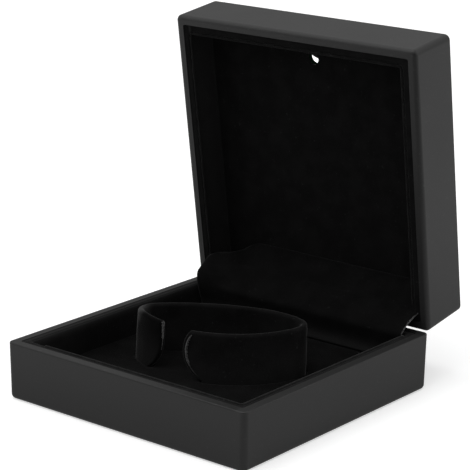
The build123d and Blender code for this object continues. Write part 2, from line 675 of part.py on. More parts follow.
def led_lamp():
    """A lamp with a flange on the board and a domed lens that looks down the hole."""
    lens_tip = PANEL_FACE + LAMP_RECESS
    flange_low = BOARD_LOW - LAMP_FLANGE
    crown = (flange_low - lens_tip) / 2
    ball = (LAMP_RADIUS ** 2 + crown ** 2) / (2 * crown)
    lens = rod_z(LAMP_RADIUS, lens_tip, flange_low, 0, LAMP_Y)
    lens &= Pos(0, LAMP_Y, lens_tip + ball) * Sphere(ball)
    return opened(lens + rod_z(LAMP_FLANGE_RADIUS, flange_low, BOARD_LOW, 0, LAMP_Y))


def coin_cell():
    """A coin cell, its smaller pole face towards the cell cover."""
    low = CELL_TOP - CELL_THICKNESS
    can = rod_z(CELL_RADIUS, low + CELL_STEP, CELL_TOP, 0, CELL_Y)
    can = fillet(can.edges().group_by(Axis.Z)[-1], CELL_STEP / 2)
    return opened(can + rod_z(CELL_RADIUS - 2 * CELL_STEP, low, low + CELL_STEP, 0, CELL_Y))


def upper_contact():
    """A flat strip on the cell, with a foot bent down to the board."""
    board_back = BOARD_FRONT + BOARD_LENGTH
    half = CONTACT_WIDTH / 2
    strip = block(-half, half, board_back - CONTACT_SHEET - CONTACT_LAP, CELL_Y + CELL_RADIUS / 2, CELL_TOP,
                  CELL_TOP + CONTACT_SHEET)
    strip += block(-half, half, board_back - CONTACT_SHEET - CONTACT_LAP, board_back - CONTACT_LAP,
                   BOARD_TOP, CELL_TOP + CONTACT_SHEET)
    return opened(strip)


def lower_contact():
    """A bowed spring strip between the cell cover and the cell."""
    low = HOUSING_LOW
    high = CELL_TOP - CELL_THICKNESS
    front = CELL_Y - CONTACT_BOW_REACH
    back = CELL_Y + CONTACT_BOW_REACH
    over = ThreePointArc((0, front, low + CONTACT_SHEET), (0, CELL_Y, high), (0, back, low + CONTACT_SHEET))
    under = ThreePointArc((0, front, low), (0, CELL_Y, high - CONTACT_SHEET), (0, back, low))
    ends = Line(over @ 0, under @ 0) + Line(over @ 1, under @ 1)
    return opened(across(make_face(over + under + ends), -CONTACT_WIDTH / 2, CONTACT_WIDTH / 2))


def cell_cover():
    """The sliding cover under the cell, with grooves for a finger nail."""
    half = HOUSING_WIDTH / 2 - HOUSING_WALL
    back = HOUSING_BACK - HOUSING_WALL
    front = BOARD_FRONT + BOARD_LENGTH + 2 * HOUSING_FIT
    cover = block(-half, half, front, back, HOUSING_LOW - CELL_COVER_SHEET, HOUSING_LOW)
    cover = fillet(cover.edges().filter_by(Axis.Z), HOUSING_WALL)
    grip = (front + back) / 2 + CELL_RADIUS / 2
    for i in range(GRIP_GROOVES):
        y = grip + i * HOUSING_WALL
        cover -= block(-CONTACT_WIDTH, CONTACT_WIDTH, y, y + HOUSING_WALL / 2,
                       HOUSING_LOW - CELL_COVER_SHEET, HOUSING_LOW - CELL_COVER_SHEET / 2)
    return opened(cover)


def light_screws():
    """Two screws that hold the lamp unit up against the bosses of the lid."""
    ear_low = ROOF_UNDER - BOSS_HEIGHT - EAR_THICKNESS
    screws = []
    for sign in (-1, 1):
        x = sign * EAR_REACH
        head = rod_z(SCREW_HEAD_RADIUS, ear_low - SCREW_HEAD_HEIGHT, ear_low, x, CELL_Y)
        head = chamfer(head.edges().group_by(Axis.Z)[0], SCREW_HEAD_BEVEL)
        screw = head + rod_z(SCREW_RADIUS, ear_low, ROOF_UNDER + ROOF / 2 - HOLE_CLEARANCE, x, CELL_Y)
        screws.append(opened(screw))
    return Compound(children=screws)


# Switch

def switch_body():
    """A slim switch case on the lid's back wall, with a slot for its blade."""
    half = SWITCH_WIDTH / 2
    low = SWITCH_LOW
    high = low + SWITCH_HEIGHT
    case = block(SWITCH_X - half, SWITCH_X + half, INNER_BACK - SWITCH_DEPTH, INNER_BACK, low, high)
    case = chamfer(case.edges().filter_by(Axis.Z), SWITCH_WALL / 2)
    slot_half = BLADE_WIDTH / 2 + BLADE_CLEARANCE
    slot_depth = BLADE_SHEET / 2 + BLADE_CLEARANCE
    case -= block(SWITCH_X - slot_half, SWITCH_X + slot_half, BLADE_Y - slot_depth, BLADE_Y + slot_depth,
                  low - OVERCUT, high - SWITCH_WALL)
    return opened(case)


def blade_top():
    """Where the blade ends inside the switch while the lid is open."""
    return BLADE_TIP_SHUT - SWITCH_TRAVEL + BLADE_LENGTH


def switch_plunger():
    """The sliding blade, out at its full travel while the lid is open."""
    tip = BLADE_TIP_SHUT - SWITCH_TRAVEL
    half = BLADE_WIDTH / 2
    blade = block(SWITCH_X - half, SWITCH_X + half, BLADE_Y - BLADE_SHEET / 2, BLADE_Y + BLADE_SHEET / 2,
                  tip, blade_top())
    nose = blade.edges().filter_by(Axis.Y).group_by(Axis.Z)[0]
    return opened(fillet(nose, BLADE_WIDTH / 4))


def switch_leaf_spring():
    """The bent strip that pushes the blade out again."""
    top = SWITCH_LOW + SWITCH_HEIGHT - SWITCH_WALL
    low = blade_top()
    half = BLADE_WIDTH / 2 - BLADE_CLEARANCE
    left = (SWITCH_X - half, BLADE_Y, low + LEAF_SPRING_SHEET)
    knee = (SWITCH_X + half, BLADE_Y, (low + top) / 2)
    right = (SWITCH_X - half, BLADE_Y, top - LEAF_SPRING_SHEET)
    step = (0, 0, LEAF_SPRING_SHEET)
    outline = Polyline(left, knee, right, Vector(*right) + Vector(*step),
                       (knee[0] + LEAF_SPRING_SHEET, BLADE_Y, knee[2]),
                       Vector(*left) - Vector(*step), close=True)
    strip = extrude(make_face(outline), amount=BLADE_SHEET / 4, both=True, dir=(0, 1, 0))
    return opened(strip)


def wire_route(shift):
    """One wire's line: up behind the liner, over the panel and in at the housing's side."""
    top = SWITCH_LOW + SWITCH_HEIGHT
    y = INNER_BACK - SWITCH_WALL - WIRE_RADIUS
    lie = PANEL_BACK + 2 * WIRE_RADIUS
    x = SWITCH_X + shift
    end_y = BOARD_FRONT + WIRE_ENTRY - shift
    end_z = BOARD_TOP - WIRE_RADIUS - WIRE_CLEARANCE
    end_x = BOARD_WIDTH / 2 + WIRE_CLEARANCE
    return [(x, y, top), (x, y, lie + 1.5), (x - 0.4, y - 6.5, lie + 1.2), (x - 1.6, y - 15, lie + 0.3),
            (x - 3.5, y - 31, lie), (x - 6.5, y - 52, lie + 0.3), (x - 12, y - 67, lie + 0.6),
            (end_x + 8.6 + shift, end_y + 3.6, end_z - 1.2), (end_x + 3.8, end_y, end_z),
            (end_x, end_y, end_z)]


def wire(points):
    """A wire with flat sides along straight runs joined by arcs as large as the runs allow."""
    line = [Vector(*point) for point in points]
    radii = []
    for before, corner, after in zip(line, line[1:], line[2:]):
        turn = math.radians((corner - before).get_angle(after - corner))
        shorter = min((corner - before).length, (after - corner).length)
        radii.append(BEND_SHARE * shorter / math.tan(turn / 2))
    path = FilletPolyline(*line, radius=radii)
    section = Plane(origin=path @ 0, z_dir=path % 0) * RegularPolygon(WIRE_RADIUS, WIRE_SIDES)
    tube = sweep(section, path=path)
    share = tube.volume / (section.area * path.length)
    print("switch wire: radii", [round(r, 1) for r in radii], "length", round(path.length, 1),
          "volume share", round(share, 4))
    return tube


def switch_wires():
    return Compound(children=[opened(wire(wire_route(shift))) for shift in (-WIRE_PITCH / 2, WIRE_PITCH / 2)])


PIECES = (base_shell, lid_shell, base_liner, lid_liner, platform_pad, holder_core, holder_cover, hinge_cover,
          base_hinge_leaf, lid_hinge_leaf, hinge_pin, base_hinge_screws, lid_hinge_screws, bow_springs,
          light_housing, circuit_board, board_resistor, led_lamp, coin_cell, upper_contact, lower_contact,
          cell_cover, light_screws, switch_body, switch_plunger, switch_leaf_spring, switch_wires)

os.makedirs("parts", exist_ok=True)
for make_piece in PIECES:
    piece = make_piece()
    export_step(piece, "parts/" + make_piece.__name__ + ".step")
    print(make_piece.__name__, "volume", round(piece.volume, 1))
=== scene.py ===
# %% [markdown]
# # A lighted bracelet box
# This lesson dresses a small jewellery box for its picture. The real box is a square moulded case
# with a matt black coat. Inside are two flocked trays, a velvet pad with a C-shaped bangle holder,
# a velvet strip that hides the hinge, and a lamp behind a hole in the lid. The rigid pieces are
# loaded from the CAD model first, because they fix every size and joint and are never moved. What is
# soft is built here as meshes around them, and every piece gets a finish made of shader nodes.

# %% Load the model that everything is built around
import json
import math

import bmesh
import bpy
import numpy as np
from mathutils import Matrix, Vector, noise
from mathutils.geometry import delaunay_2d_cdt


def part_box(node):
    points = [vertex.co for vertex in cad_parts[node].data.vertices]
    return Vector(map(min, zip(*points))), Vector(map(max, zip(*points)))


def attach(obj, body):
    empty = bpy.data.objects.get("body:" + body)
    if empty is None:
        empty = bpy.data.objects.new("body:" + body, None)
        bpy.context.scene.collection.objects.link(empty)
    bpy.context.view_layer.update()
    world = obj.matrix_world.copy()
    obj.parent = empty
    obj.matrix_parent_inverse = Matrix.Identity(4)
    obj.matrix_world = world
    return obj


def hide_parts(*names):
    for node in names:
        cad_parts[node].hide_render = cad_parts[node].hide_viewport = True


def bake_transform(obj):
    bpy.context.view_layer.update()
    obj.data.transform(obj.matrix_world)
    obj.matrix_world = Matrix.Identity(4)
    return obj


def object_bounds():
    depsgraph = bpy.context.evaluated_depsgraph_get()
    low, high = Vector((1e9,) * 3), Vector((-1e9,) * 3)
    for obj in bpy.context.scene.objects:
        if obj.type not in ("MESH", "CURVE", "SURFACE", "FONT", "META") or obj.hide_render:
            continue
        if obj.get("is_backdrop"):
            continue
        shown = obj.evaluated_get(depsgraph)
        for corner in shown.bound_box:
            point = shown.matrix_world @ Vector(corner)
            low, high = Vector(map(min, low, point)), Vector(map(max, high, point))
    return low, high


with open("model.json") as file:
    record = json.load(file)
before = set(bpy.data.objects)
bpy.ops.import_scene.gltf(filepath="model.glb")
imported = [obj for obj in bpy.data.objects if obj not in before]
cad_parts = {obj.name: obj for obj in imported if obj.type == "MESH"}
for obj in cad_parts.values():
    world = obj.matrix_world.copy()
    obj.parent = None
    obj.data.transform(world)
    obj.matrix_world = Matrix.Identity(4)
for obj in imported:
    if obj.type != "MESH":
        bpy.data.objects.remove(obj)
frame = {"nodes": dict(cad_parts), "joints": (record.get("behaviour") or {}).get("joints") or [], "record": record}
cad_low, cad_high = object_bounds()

MM = 0.001
scene = bpy.context.scene
nodes = frame["nodes"]

# %% [markdown]
# ## The camera
# A product picture is taken with a long lens, which keeps the case's edges nearly parallel. The
# camera could be placed by eye, but a box has so many straight edges that its place can be fitted to
# them. These values come from such a fit. The lens axis doesn't pass through the middle of the
# picture, so the small rest is a shift of the lens, as on a view camera.

# %% Place the camera
PICTURE_SIDE = 470
FOCAL_PIXELS = 1993.7
LENS_AXIS = (240.2, 249.2)
EYE = Vector((0.3965, -0.4834, 0.2333))
TURN = math.radians(38.79)
TILT = math.radians(16.33)
ROLL = math.radians(0.711)

ahead = Vector((-math.sin(TURN) * math.cos(TILT), math.cos(TURN) * math.cos(TILT), -math.sin(TILT)))
level = Vector((math.cos(TURN), math.sin(TURN), 0))
upright = level.cross(ahead)
right_side = math.cos(ROLL) * level + math.sin(ROLL) * upright
top_side = math.cos(ROLL) * upright - math.sin(ROLL) * level

lens = bpy.data.cameras.new("camera")
lens.sensor_width = 36
lens.lens = FOCAL_PIXELS / PICTURE_SIDE * lens.sensor_width
lens.shift_x = (PICTURE_SIDE / 2 - LENS_AXIS[0]) / PICTURE_SIDE
lens.shift_y = (LENS_AXIS[1] - PICTURE_SIDE / 2) / PICTURE_SIDE
lens.clip_start = 0.02
lens.clip_end = 50
camera = bpy.data.objects.new("camera", lens)
camera.matrix_world = Matrix.Translation(EYE) @ Matrix((right_side, top_side, -ahead)).transposed().to_4x4()
scene.collection.objects.link(camera)
scene.camera = camera
print("lens of", round(lens.lens, 1), "mm at", round(EYE.length, 2), "m from the box")

# %% [markdown]
# ## Writing node trees as sums
# A finish is a tree of shader nodes. Wired one link at a time, even a short formula takes a page. So
# one small class wraps a node's output and gives it the arithmetic operators, each of which adds a
# Math node, and a second one holds a tree and adds any other kind of node in one call. Colours don't
# go through Math nodes, which would turn them grey: they have a mixing method of their own.

# %% Two helper classes for shader nodes
class Wire:
    """An output socket that can be added, subtracted and multiplied like a number."""

    def __init__(self, sheet, socket):
        self.sheet = sheet
        self.socket = socket

    def __add__(self, other):
        return self.sheet.maths("ADD", self, other)

    def __radd__(self, other):
        return self.sheet.maths("ADD", other, self)

    def __sub__(self, other):
        return self.sheet.maths("SUBTRACT", self, other)

    def __rsub__(self, other):
        return self.sheet.maths("SUBTRACT", other, self)

    def __mul__(self, other):
        return self.sheet.maths("MULTIPLY", self, other)

    def __rmul__(self, other):
        return self.sheet.maths("MULTIPLY", other, self)


class Sheet:
    """A node tree that is drawn one node at a time."""

    def __init__(self, tree):
        self.tree = tree

    def node(self, kind, settings=None, sockets=None, out=0):
        """Add a node: its settings first, then what goes into its sockets."""
        made = self.tree.nodes.new(kind)
        for name, value in (settings or {}).items():
            setattr(made, name, value)
        for name, value in (sockets or {}).items():
            self.plug(made.inputs[name], value)
        return Wire(self, made.outputs[out])

    def plug(self, socket, value):
        """Link a wire to a socket, or write a plain value on it."""
        if isinstance(value, Wire):
            self.tree.links.new(value.socket, socket)
        else:
            socket.default_value = value

    def maths(self, operation, first, second):
        return self.node("ShaderNodeMath", {"operation": operation}, {0: first, 1: second})

    def mixed(self, share, first, second):
        """A colour between two colours."""
        return self.node("ShaderNodeMix", {"data_type": "RGBA"}, {0: share, 6: first, 7: second}, out=2)

    def sharpened(self, value, low, high):
        """A mask that is 0 up to the low value and 1 from the high value, with a smooth step between."""
        return self.node("ShaderNodeMapRange", {"interpolation_type": "SMOOTHSTEP"}, {
            "Value": value, "From Min": low, "From Max": high})


def grey(value):
    """A colour of one brightness, neither warm nor cool."""
    return (value, value, value, 1)


print("node helpers ready")

# %% [markdown]
# ## The finishes
# Every material starts from the same Principled shader. What is even over the piece, such as sheen
# or specular level, is written on its sockets. What varies goes through textures in the object's own
# coordinates, which are metres here, so a texture's scale is one over the size of its grain.

# %% A finish and its textures
class Finish(Sheet):
    """A material with one Principled shader."""

    def __init__(self, name, **even):
        self.material = bpy.data.materials.new(name)
        self.material.use_nodes = True
        super().__init__(self.material.node_tree)
        self.surface = self.tree.nodes["Principled BSDF"]
        self.place = self.node("ShaderNodeTexCoord", out=3)
        for socket, value in even.items():
            self.set(socket.replace("_", " "), value)

    def set(self, socket, value):
        self.plug(self.surface.inputs[socket], value)

    def speckle(self, size, detail=2.0, roughness=0.5, stretch=(1, 1, 1)):
        """A soft noise from 0 to 1 whose patches are about one size wide, in metres."""
        spot = self.node("ShaderNodeMapping", {}, {"Vector": self.place, "Scale": stretch})
        return self.node("ShaderNodeTexNoise", {}, {
            "Vector": spot, "Scale": 1 / size, "Detail": detail, "Roughness": roughness})

    def along(self, axis):
        """How far a point of the piece is from the origin along X, Y or Z, in metres."""
        return self.node("ShaderNodeSeparateXYZ", {}, {0: self.place}, out="XYZ".index(axis))

    def relief(self, height, depth, strength):
        """Raise the surface by a height map whose white is one depth high, in metres."""
        self.set("Normal", self.node("ShaderNodeBump", {}, {
            "Height": height, "Distance": depth, "Strength": strength}))


print("finish helper ready")

# %% [markdown]
# ### The moulded case
# The case is sprayed with a soft matt coat. It is a very dark grey with a wide dull highlight. Close to, it has a
# fine orange-peel grain, and where hands rub it the coat is a little smoother. A plain black would look like a
# hole in the picture, so most of what is seen is the light on the coat. Two masks paint light and shade into its
# tone: the rims where base and lid meet get a painted shade, and the front of the base gets painted light that
# makes it paler towards its top. The lid stands open, so its rim is measured from the hinge.

# %% Where the hinge is and how far the lid is open
joint = next(j for j in frame["joints"] if j["name"] == "lid_hinge")
PIVOT_Y, PIVOT_Z = (c / MM for c in joint["pos_m"][1:])
OPEN = math.radians(joint["range_deg"][1])
print("lid opened by", round(math.degrees(OPEN), 1), "degrees")

# %% Places of the coat with painted shade and painted light
LID_STARTS = (0.0199, 0.0201)
BASE_RIM_STARTS = (0.0190, 0.0195)
BASE_RIM_ENDS = (0.0460, 0.0468)
BASE_RIM_SHADE = 0.7
LID_RIM_DEPTH = (0.0002, 0.0010)
LID_RIM_SHADE = 0.2


def painted_shade_rims(coat):
    """The narrow faces where base and lid meet, darkened with a painted shade."""
    height = coat.along("Z")
    on_lid = coat.sharpened(height, *LID_STARTS)
    kept_end = coat.sharpened(coat.along("X"), *BASE_RIM_ENDS)
    base_rim = coat.sharpened(height, *BASE_RIM_STARTS) * (1 - on_lid) * (1 - kept_end)
    behind_pivot = coat.along("Y") - PIVOT_Y * MM
    above_pivot = height - PIVOT_Z * MM
    from_rim = math.sin(OPEN) * behind_pivot + math.cos(OPEN) * above_pivot
    lid_rim = on_lid * (1 - coat.sharpened(from_rim, *LID_RIM_DEPTH))
    return BASE_RIM_SHADE * base_rim + LID_RIM_SHADE * lid_rim


FRONT_LIGHT_HEIGHT = (0.004, 0.019)
FRONT_FACE = (-0.0491, -0.0485)
FRONT_LIGHT_SHARE = 0.22


def painted_light_front(coat):
    """The base's front face, with painted light that makes it a little paler towards its top."""
    front = 1 - coat.sharpened(coat.along("Y"), *FRONT_FACE)
    return FRONT_LIGHT_SHARE * coat.sharpened(coat.along("Z"), *FRONT_LIGHT_HEIGHT) * front


print("masks for the rims and the front ready")

# %% Coat of the case
COAT_DARK = 0.0145
COAT_PALE = 0.0185
# The next two tones are painted light on the base's front and painted shade on the rims.
COAT_PAINTED_LIGHT = 0.032
COAT_RIM_SHADE = 0.002
COAT_DUST = 0.030
DUST_RANGE = (0.66, 0.74)


def moulded_coat():
    coat = Finish("black_moulding", Specular_IOR_Level=0.3)
    clouds = coat.speckle(0.030, detail=3)
    grain = coat.speckle(0.00035, detail=1)
    dust = coat.sharpened(coat.speckle(0.0012, detail=1), *DUST_RANGE)
    tone = coat.mixed(clouds, grey(COAT_DARK), grey(COAT_PALE))
    # Painted light: the base's front is paler towards its top.
    tone = coat.mixed(painted_light_front(coat), tone, grey(COAT_PAINTED_LIGHT))
    # Painted shade on the rims where base and lid meet.
    tone = coat.mixed(painted_shade_rims(coat), tone, grey(COAT_RIM_SHADE))
    coat.set("Base Color", coat.mixed(dust * 0.5, tone, grey(COAT_DUST)))
    coat.set("Roughness", 0.46 + 0.10 * clouds - 0.05 * grain)
    coat.relief(grain, 0.000012, 0.5)
    return coat.material


case_coat = moulded_coat()
print("made", case_coat.name)

# %% [markdown]
# ### Flock and velvet
# The trays are flocked: short fibres stand upright in glue, and they swallow nearly all light that falls straight
# in. Velvet does the same with a longer pile. Seen along the surface, the sides of the fibres catch light, so
# rounded edges get a pale line. The sheen of the shader gives the broad part of this, and a Layer Weight paints
# the narrow bright rim where the pile is seen from the side into the colour, as a painted sheen. A strong bump
# would turn the pile into crumpled paper, so most of the pattern is in the colour: fine grains, lint, and cloudy
# patches where the pile leans one way or the other. No pile is even all over, and masks also paint light and shade
# into it: the pile opens at a tight bend, which also gets a painted sheen, a tip gets a painted shade, the tops of
# the tray's walls, the left flange, the lid's left wall and the low part of the strip get painted light, and dust
# lies at the holder's foot. Each such place is a mask, written from where it starts and ends on the box, in
# metres.

# %% Places of the pile with painted light, painted shade and dust
LEFT_BEND = (-0.0276, -0.0092, 0.0264)
BEND_REACH = (0.001, 0.0065)
FOOT_DUST_HEIGHT = (0.012, 0.024)
FOOT_DUST = 0.12


def bend_sheen_and_foot_dust(pile):
    """A paler patch at the top of the holder's tight bend, partly opened pile and partly a painted sheen, and a
    paler dusty foot.
    """
    away = pile.node("ShaderNodeVectorMath", {"operation": "DISTANCE"}, {
        0: pile.place, 1: LEFT_BEND}, out=1)
    dust = 1 - pile.sharpened(pile.along("Z"), *FOOT_DUST_HEIGHT)
    return 1 - pile.sharpened(away, *BEND_REACH) + FOOT_DUST * dust


TIP_SHADE_RIGHT = (-0.0125, -0.0105)
TIP_SHADE_BACK = (-0.0125, -0.0085)
TIP_SHADE = 0.72


def painted_tip_shade(pile):
    """The outer face of the holder's left tip, darkened with a painted shade."""
    left = 1 - pile.sharpened(pile.along("X"), *TIP_SHADE_RIGHT)
    front = 1 - pile.sharpened(pile.along("Y"), *TIP_SHADE_BACK)
    return TIP_SHADE * left * front


TOP_LIGHT_HEIGHT = (0.0155, 0.0200)
TOP_LIGHT_SHARE = 0.5
FLANGE_HEIGHT = (0.0193, 0.0195)
FLANGE_LEFT = (-0.0470, -0.0442)
FLANGE_LIGHT = 0.22


def painted_light_at_the_top(pile):
    """Painted light at the top of the tray's walls, and on the flange on the left."""
    height = pile.along("Z")
    band = pile.sharpened(height, *TOP_LIGHT_HEIGHT)
    flange = pile.sharpened(height, *FLANGE_HEIGHT)
    paler_places = 1 - pile.sharpened(pile.along("X"), *FLANGE_LEFT)
    return TOP_LIGHT_SHARE * band * band * (1 - flange) + FLANGE_LIGHT * flange * paler_places


FOLD_HEIGHT = (0.013, 0.023)
FOLD_LIGHT = 0.04
LOW_LIGHT_HEIGHT = (0.0115, 0.0165)
LOW_LIGHT = 0.25


def painted_light_in_fold(pile):
    """Painted light on the lower part of the strip, which lies in shade."""
    height = pile.along("Z")
    fold = 1 - pile.sharpened(height, *FOLD_HEIGHT)
    return FOLD_LIGHT * fold + LOW_LIGHT * (1 - pile.sharpened(height, *LOW_LIGHT_HEIGHT))


LEFT_WALL_STARTS = (-0.0447, -0.0444)
LEFT_WALL_ENDS = (-0.0442, -0.0432)
SIDE_LIGHT = 0.18


def painted_light_on_side(pile):
    """Painted light on the lid's left wall, which looks away from the light."""
    across = pile.along("X")
    past_wall = pile.sharpened(across, *LEFT_WALL_ENDS)
    return SIDE_LIGHT * pile.sharpened(across, *LEFT_WALL_STARTS) * (1 - past_wall)


print("five masks for the pile ready")

# %% Flock of the trays and pile of the velvet
FLOCK_FIBRE = 0.0003
VELVET_FIBRE = 0.0004
FIBRE_RANGE = (0.5, 0.8)
PATCH_RANGE = (0.35, 0.68)
FIBRE_GAIN = 2
LINT_RANGE = (0.70, 0.78)
LINT_SHARE = 0.4
LINT_GAIN = 5
PAINTED_SHEEN_RANGE = (0.76, 1.0)
# Tones of painted light and dust, of painted shade at a tip, and of painted sheen on rims.
PAINTED_LIGHT_AND_DUST_TONE = 0.045
TIP_SHADE_TONE = 0.0004
PAINTED_SHEEN_TONE = 0.08


def pile_finish(name, dark, pale, fibre, patch, sheen, rim, paler_places=None, tip_shade=None):
    """A pile of fibres between a dark and a pale tone, with a painted sheen on its rim, and with masks for painted
    light, painted shade and dust.
    """
    pile = Finish(name, Sheen_Weight=sheen, Sheen_Roughness=0.3, Specular_IOR_Level=0.03)
    pile.set("Sheen Tint", grey(1.0))
    fibres = pile.speckle(fibre, detail=3, roughness=0.8)
    patches = pile.sharpened(pile.speckle(patch, detail=3), *PATCH_RANGE)
    lint = pile.sharpened(pile.speckle(3 * fibre, detail=1), *LINT_RANGE)
    # Painted sheen: the colour turns paler where the surface is seen edge on.
    painted_sheen_mask = pile.sharpened(pile.node("ShaderNodeLayerWeight", {}, {"Blend": 0.5}, out=1), *PAINTED_SHEEN_RANGE)
    tone = pile.mixed(patches, grey(dark), grey(pale))
    tone = pile.mixed(pile.sharpened(fibres, *FIBRE_RANGE), tone, grey(FIBRE_GAIN * pale))
    tone = pile.mixed(LINT_SHARE * lint, tone, grey(LINT_GAIN * pale))
    # Painted shade on the outer face of the holder's left tip.
    if tip_shade:
        tone = pile.mixed(tip_shade(pile), tone, grey(TIP_SHADE_TONE))
    # Painted light, and on the holder's foot real dust, where such a mask is given.
    if paler_places:
        tone = pile.mixed(paler_places(pile) * (0.5 + fibres), tone, grey(PAINTED_LIGHT_AND_DUST_TONE))
    pile.set("Base Color", pile.mixed(rim * painted_sheen_mask, tone, grey(PAINTED_SHEEN_TONE)))
    pile.set("Roughness", 0.9 + 0.1 * fibres)
    pile.relief(fibres, fibre * 0.5, 0.5)
    return pile.material


flock = pile_finish("black_flock", 0.0036, 0.0052, FLOCK_FIBRE, patch=0.006, sheen=0.08, rim=0.2,
                    paler_places=painted_light_on_side)
tray_flock = pile_finish("tray_flock", 0.006, 0.008, FLOCK_FIBRE, patch=0.006, sheen=0.1, rim=0.2,
                         paler_places=painted_light_at_the_top)
# The two bead flocks are paler than the trays' flock: a painted sheen along the lips.
painted_sheen_flock = pile_finish("painted_sheen_flock", 0.008, 0.013, FLOCK_FIBRE, patch=0.004, sheen=0.1, rim=0.2)
lid_painted_sheen_flock = pile_finish("lid_painted_sheen_flock", 0.004, 0.007, FLOCK_FIBRE, patch=0.004, sheen=0.08, rim=0.1)
pad_velvet = pile_finish("black_velvet", 0.0022, 0.004, VELVET_FIBRE, patch=0.007, sheen=0.04, rim=0.3)
holder_velvet = pile_finish("holder_velvet", 0.0044, 0.0064, VELVET_FIBRE, patch=0.006, sheen=0.08, rim=0.6,
                            paler_places=bend_sheen_and_foot_dust, tip_shade=painted_tip_shade)
strip_velvet = pile_finish("strip_velvet", 0.0033, 0.0046, VELVET_FIBRE, patch=0.007, sheen=0.05, rim=0.12,
                           paler_places=painted_light_in_fold)
print("made", flock.name, "for the lid, three more for the tray and the rims, and three kinds of velvet")

# %% [markdown]
# ### Raw cut edges
# Where velvet is cut, the pale ends of its woven backing show between the pile. This finish is for the
# thin beads that are laid along such cuts further on.

# %% Pale backing at the cuts
def cut_finish():
    cut = Finish("raw_cut_backing", Sheen_Weight=0.3, Sheen_Roughness=0.5, Specular_IOR_Level=0.1)
    ends = cut.sharpened(cut.speckle(0.0007, detail=3, roughness=0.7), 0.35, 0.7)
    cut.set("Base Color", cut.mixed(ends, grey(0.02), grey(0.10)))
    cut.set("Roughness", 0.85 + 0.15 * ends)
    cut.relief(ends, 0.0001, 0.7)
    return cut.material


cut_edge = cut_finish()
print("made", cut_edge.name)

# %% [markdown]
# ### Hidden metal, plastic and board
# Little of the inner works shows while the box stands open, but they come into view when someone
# takes the box apart. They are everyday finishes: rolled steel with streaks along the sheet, brass,
# plain plastic with a mould texture, lacquered board.

# %% Metal, plastic and board
MOULD_GRAIN = 0.0003
STREAK_WIDTH = 0.0006
STREAK_STRETCH = (0.06, 1, 1)
SHADE = 0.85
BOARD_DARK = (0.004, 0.020, 0.008, 1)
BOARD_PALE = (0.006, 0.028, 0.011, 1)
BOARD_TRACKS = (0.010, 0.045, 0.017, 1)


def shaded(colour):
    """The darker of the two tones that a colour varies between."""
    return tuple(SHADE * c for c in colour) + (1,)


def rolled_metal(name, colour, roughness):
    metal = Finish(name, Metallic=1.0)
    streaks = metal.speckle(STREAK_WIDTH, detail=3, stretch=STREAK_STRETCH)
    metal.set("Base Color", metal.mixed(streaks, shaded(colour), colour + (1,)))
    metal.set("Roughness", roughness + 0.15 * streaks)
    metal.relief(streaks, 0.00001, 0.4)
    return metal.material


def plain_plastic(name, colour, roughness):
    plastic = Finish(name)
    texture = plastic.speckle(MOULD_GRAIN, detail=2)
    plastic.set("Base Color", plastic.mixed(texture, shaded(colour), colour + (1,)))
    plastic.set("Roughness", roughness + 0.1 * texture)
    plastic.relief(texture, MOULD_GRAIN * 0.04, 0.5)
    return plastic.material


def lacquered_board():
    board = Finish("green_board", Coat_Roughness=0.15)
    weave = board.speckle(0.0008, detail=1)
    tracks = board.sharpened(board.speckle(0.004, detail=0, stretch=(1, 0.3, 1)), 0.52, 0.54)
    board.set("Base Color", board.mixed(tracks, board.mixed(weave, BOARD_DARK, BOARD_PALE), BOARD_TRACKS))
    board.set("Roughness", 0.4 - 0.1 * weave)
    board.set("Coat Weight", 0.4 + 0.2 * weave)
    return board.material


print("finish makers ready")

# %% A finish for each slot
finishes = {
    "black_moulding": case_coat,
    "black_flock": flock,
    "black_velvet": pad_velvet,
    "grey_strip": plain_plastic("grey_strip", (0.16, 0.16, 0.165), 0.5),
    "plated_steel": rolled_metal("plated_steel", (0.55, 0.55, 0.56), 0.28),
    "spring_steel": rolled_metal("spring_steel", (0.42, 0.42, 0.44), 0.2),
    "green_board": lacquered_board(),
    "black_chip": plain_plastic("black_chip", (0.03, 0.03, 0.03), 0.3),
    "cell_steel": rolled_metal("cell_steel", (0.6, 0.6, 0.6), 0.22),
    "contact_brass": rolled_metal("contact_brass", (0.7, 0.55, 0.3), 0.25),
    "switch_white": plain_plastic("switch_white", (0.75, 0.75, 0.73), 0.45),
    "wire_black": plain_plastic("wire_black", (0.03, 0.03, 0.03), 0.5),
}
print(len(finishes), "finishes so far")

# %% [markdown]
# ### The lamp
# The lamp is lit. Its lens glows white and is so much brighter than the velvet that the picture shows only its
# outline. It shines down on the holder, so only its lower half glows, and the upper half gets a painted shade: a
# near-black colour and no glow. A low emission is enough for that.

# %% Glowing lens
LAMP_HEIGHT = 0.1062
LAMP_SLANT = 0.3
SHADE_EDGE = (-0.0001, 0.0003)


def lamp_finish():
    lamp = Finish("white_lamp", Emission_Strength=1.6)
    milk = lamp.speckle(0.0015, detail=2)
    # Painted shade: the upper half of the lens is dark and doesn't glow.
    dark = lamp.sharpened(lamp.along("Z") - LAMP_HEIGHT + LAMP_SLANT * lamp.along("X"), *SHADE_EDGE)
    lamp.set("Base Color", lamp.mixed(dark, lamp.mixed(milk, grey(0.9), grey(0.97)), grey(0.01)))
    lamp.set("Emission Color", lamp.mixed(dark, lamp.mixed(milk, grey(0.92), grey(1.0)), grey(0.0)))
    lamp.set("Roughness", 0.25 + 0.6 * dark)
    return lamp.material


finishes["white_lamp"] = lamp_finish()
print("the lamp glows")

# %% [markdown]
# ## Dressing the CAD pieces
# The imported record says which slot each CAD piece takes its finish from, so one loop dresses them
# all. The pieces that are soft on the real box are replaced further on.

# %% Give every CAD piece its finish
for part in frame["record"]["subparts"]:
    mesh = nodes[part["node"]].data
    mesh.materials.clear()
    mesh.materials.append(finishes[part["material_slot"]])
nodes["base_liner"].data.materials[0] = tray_flock

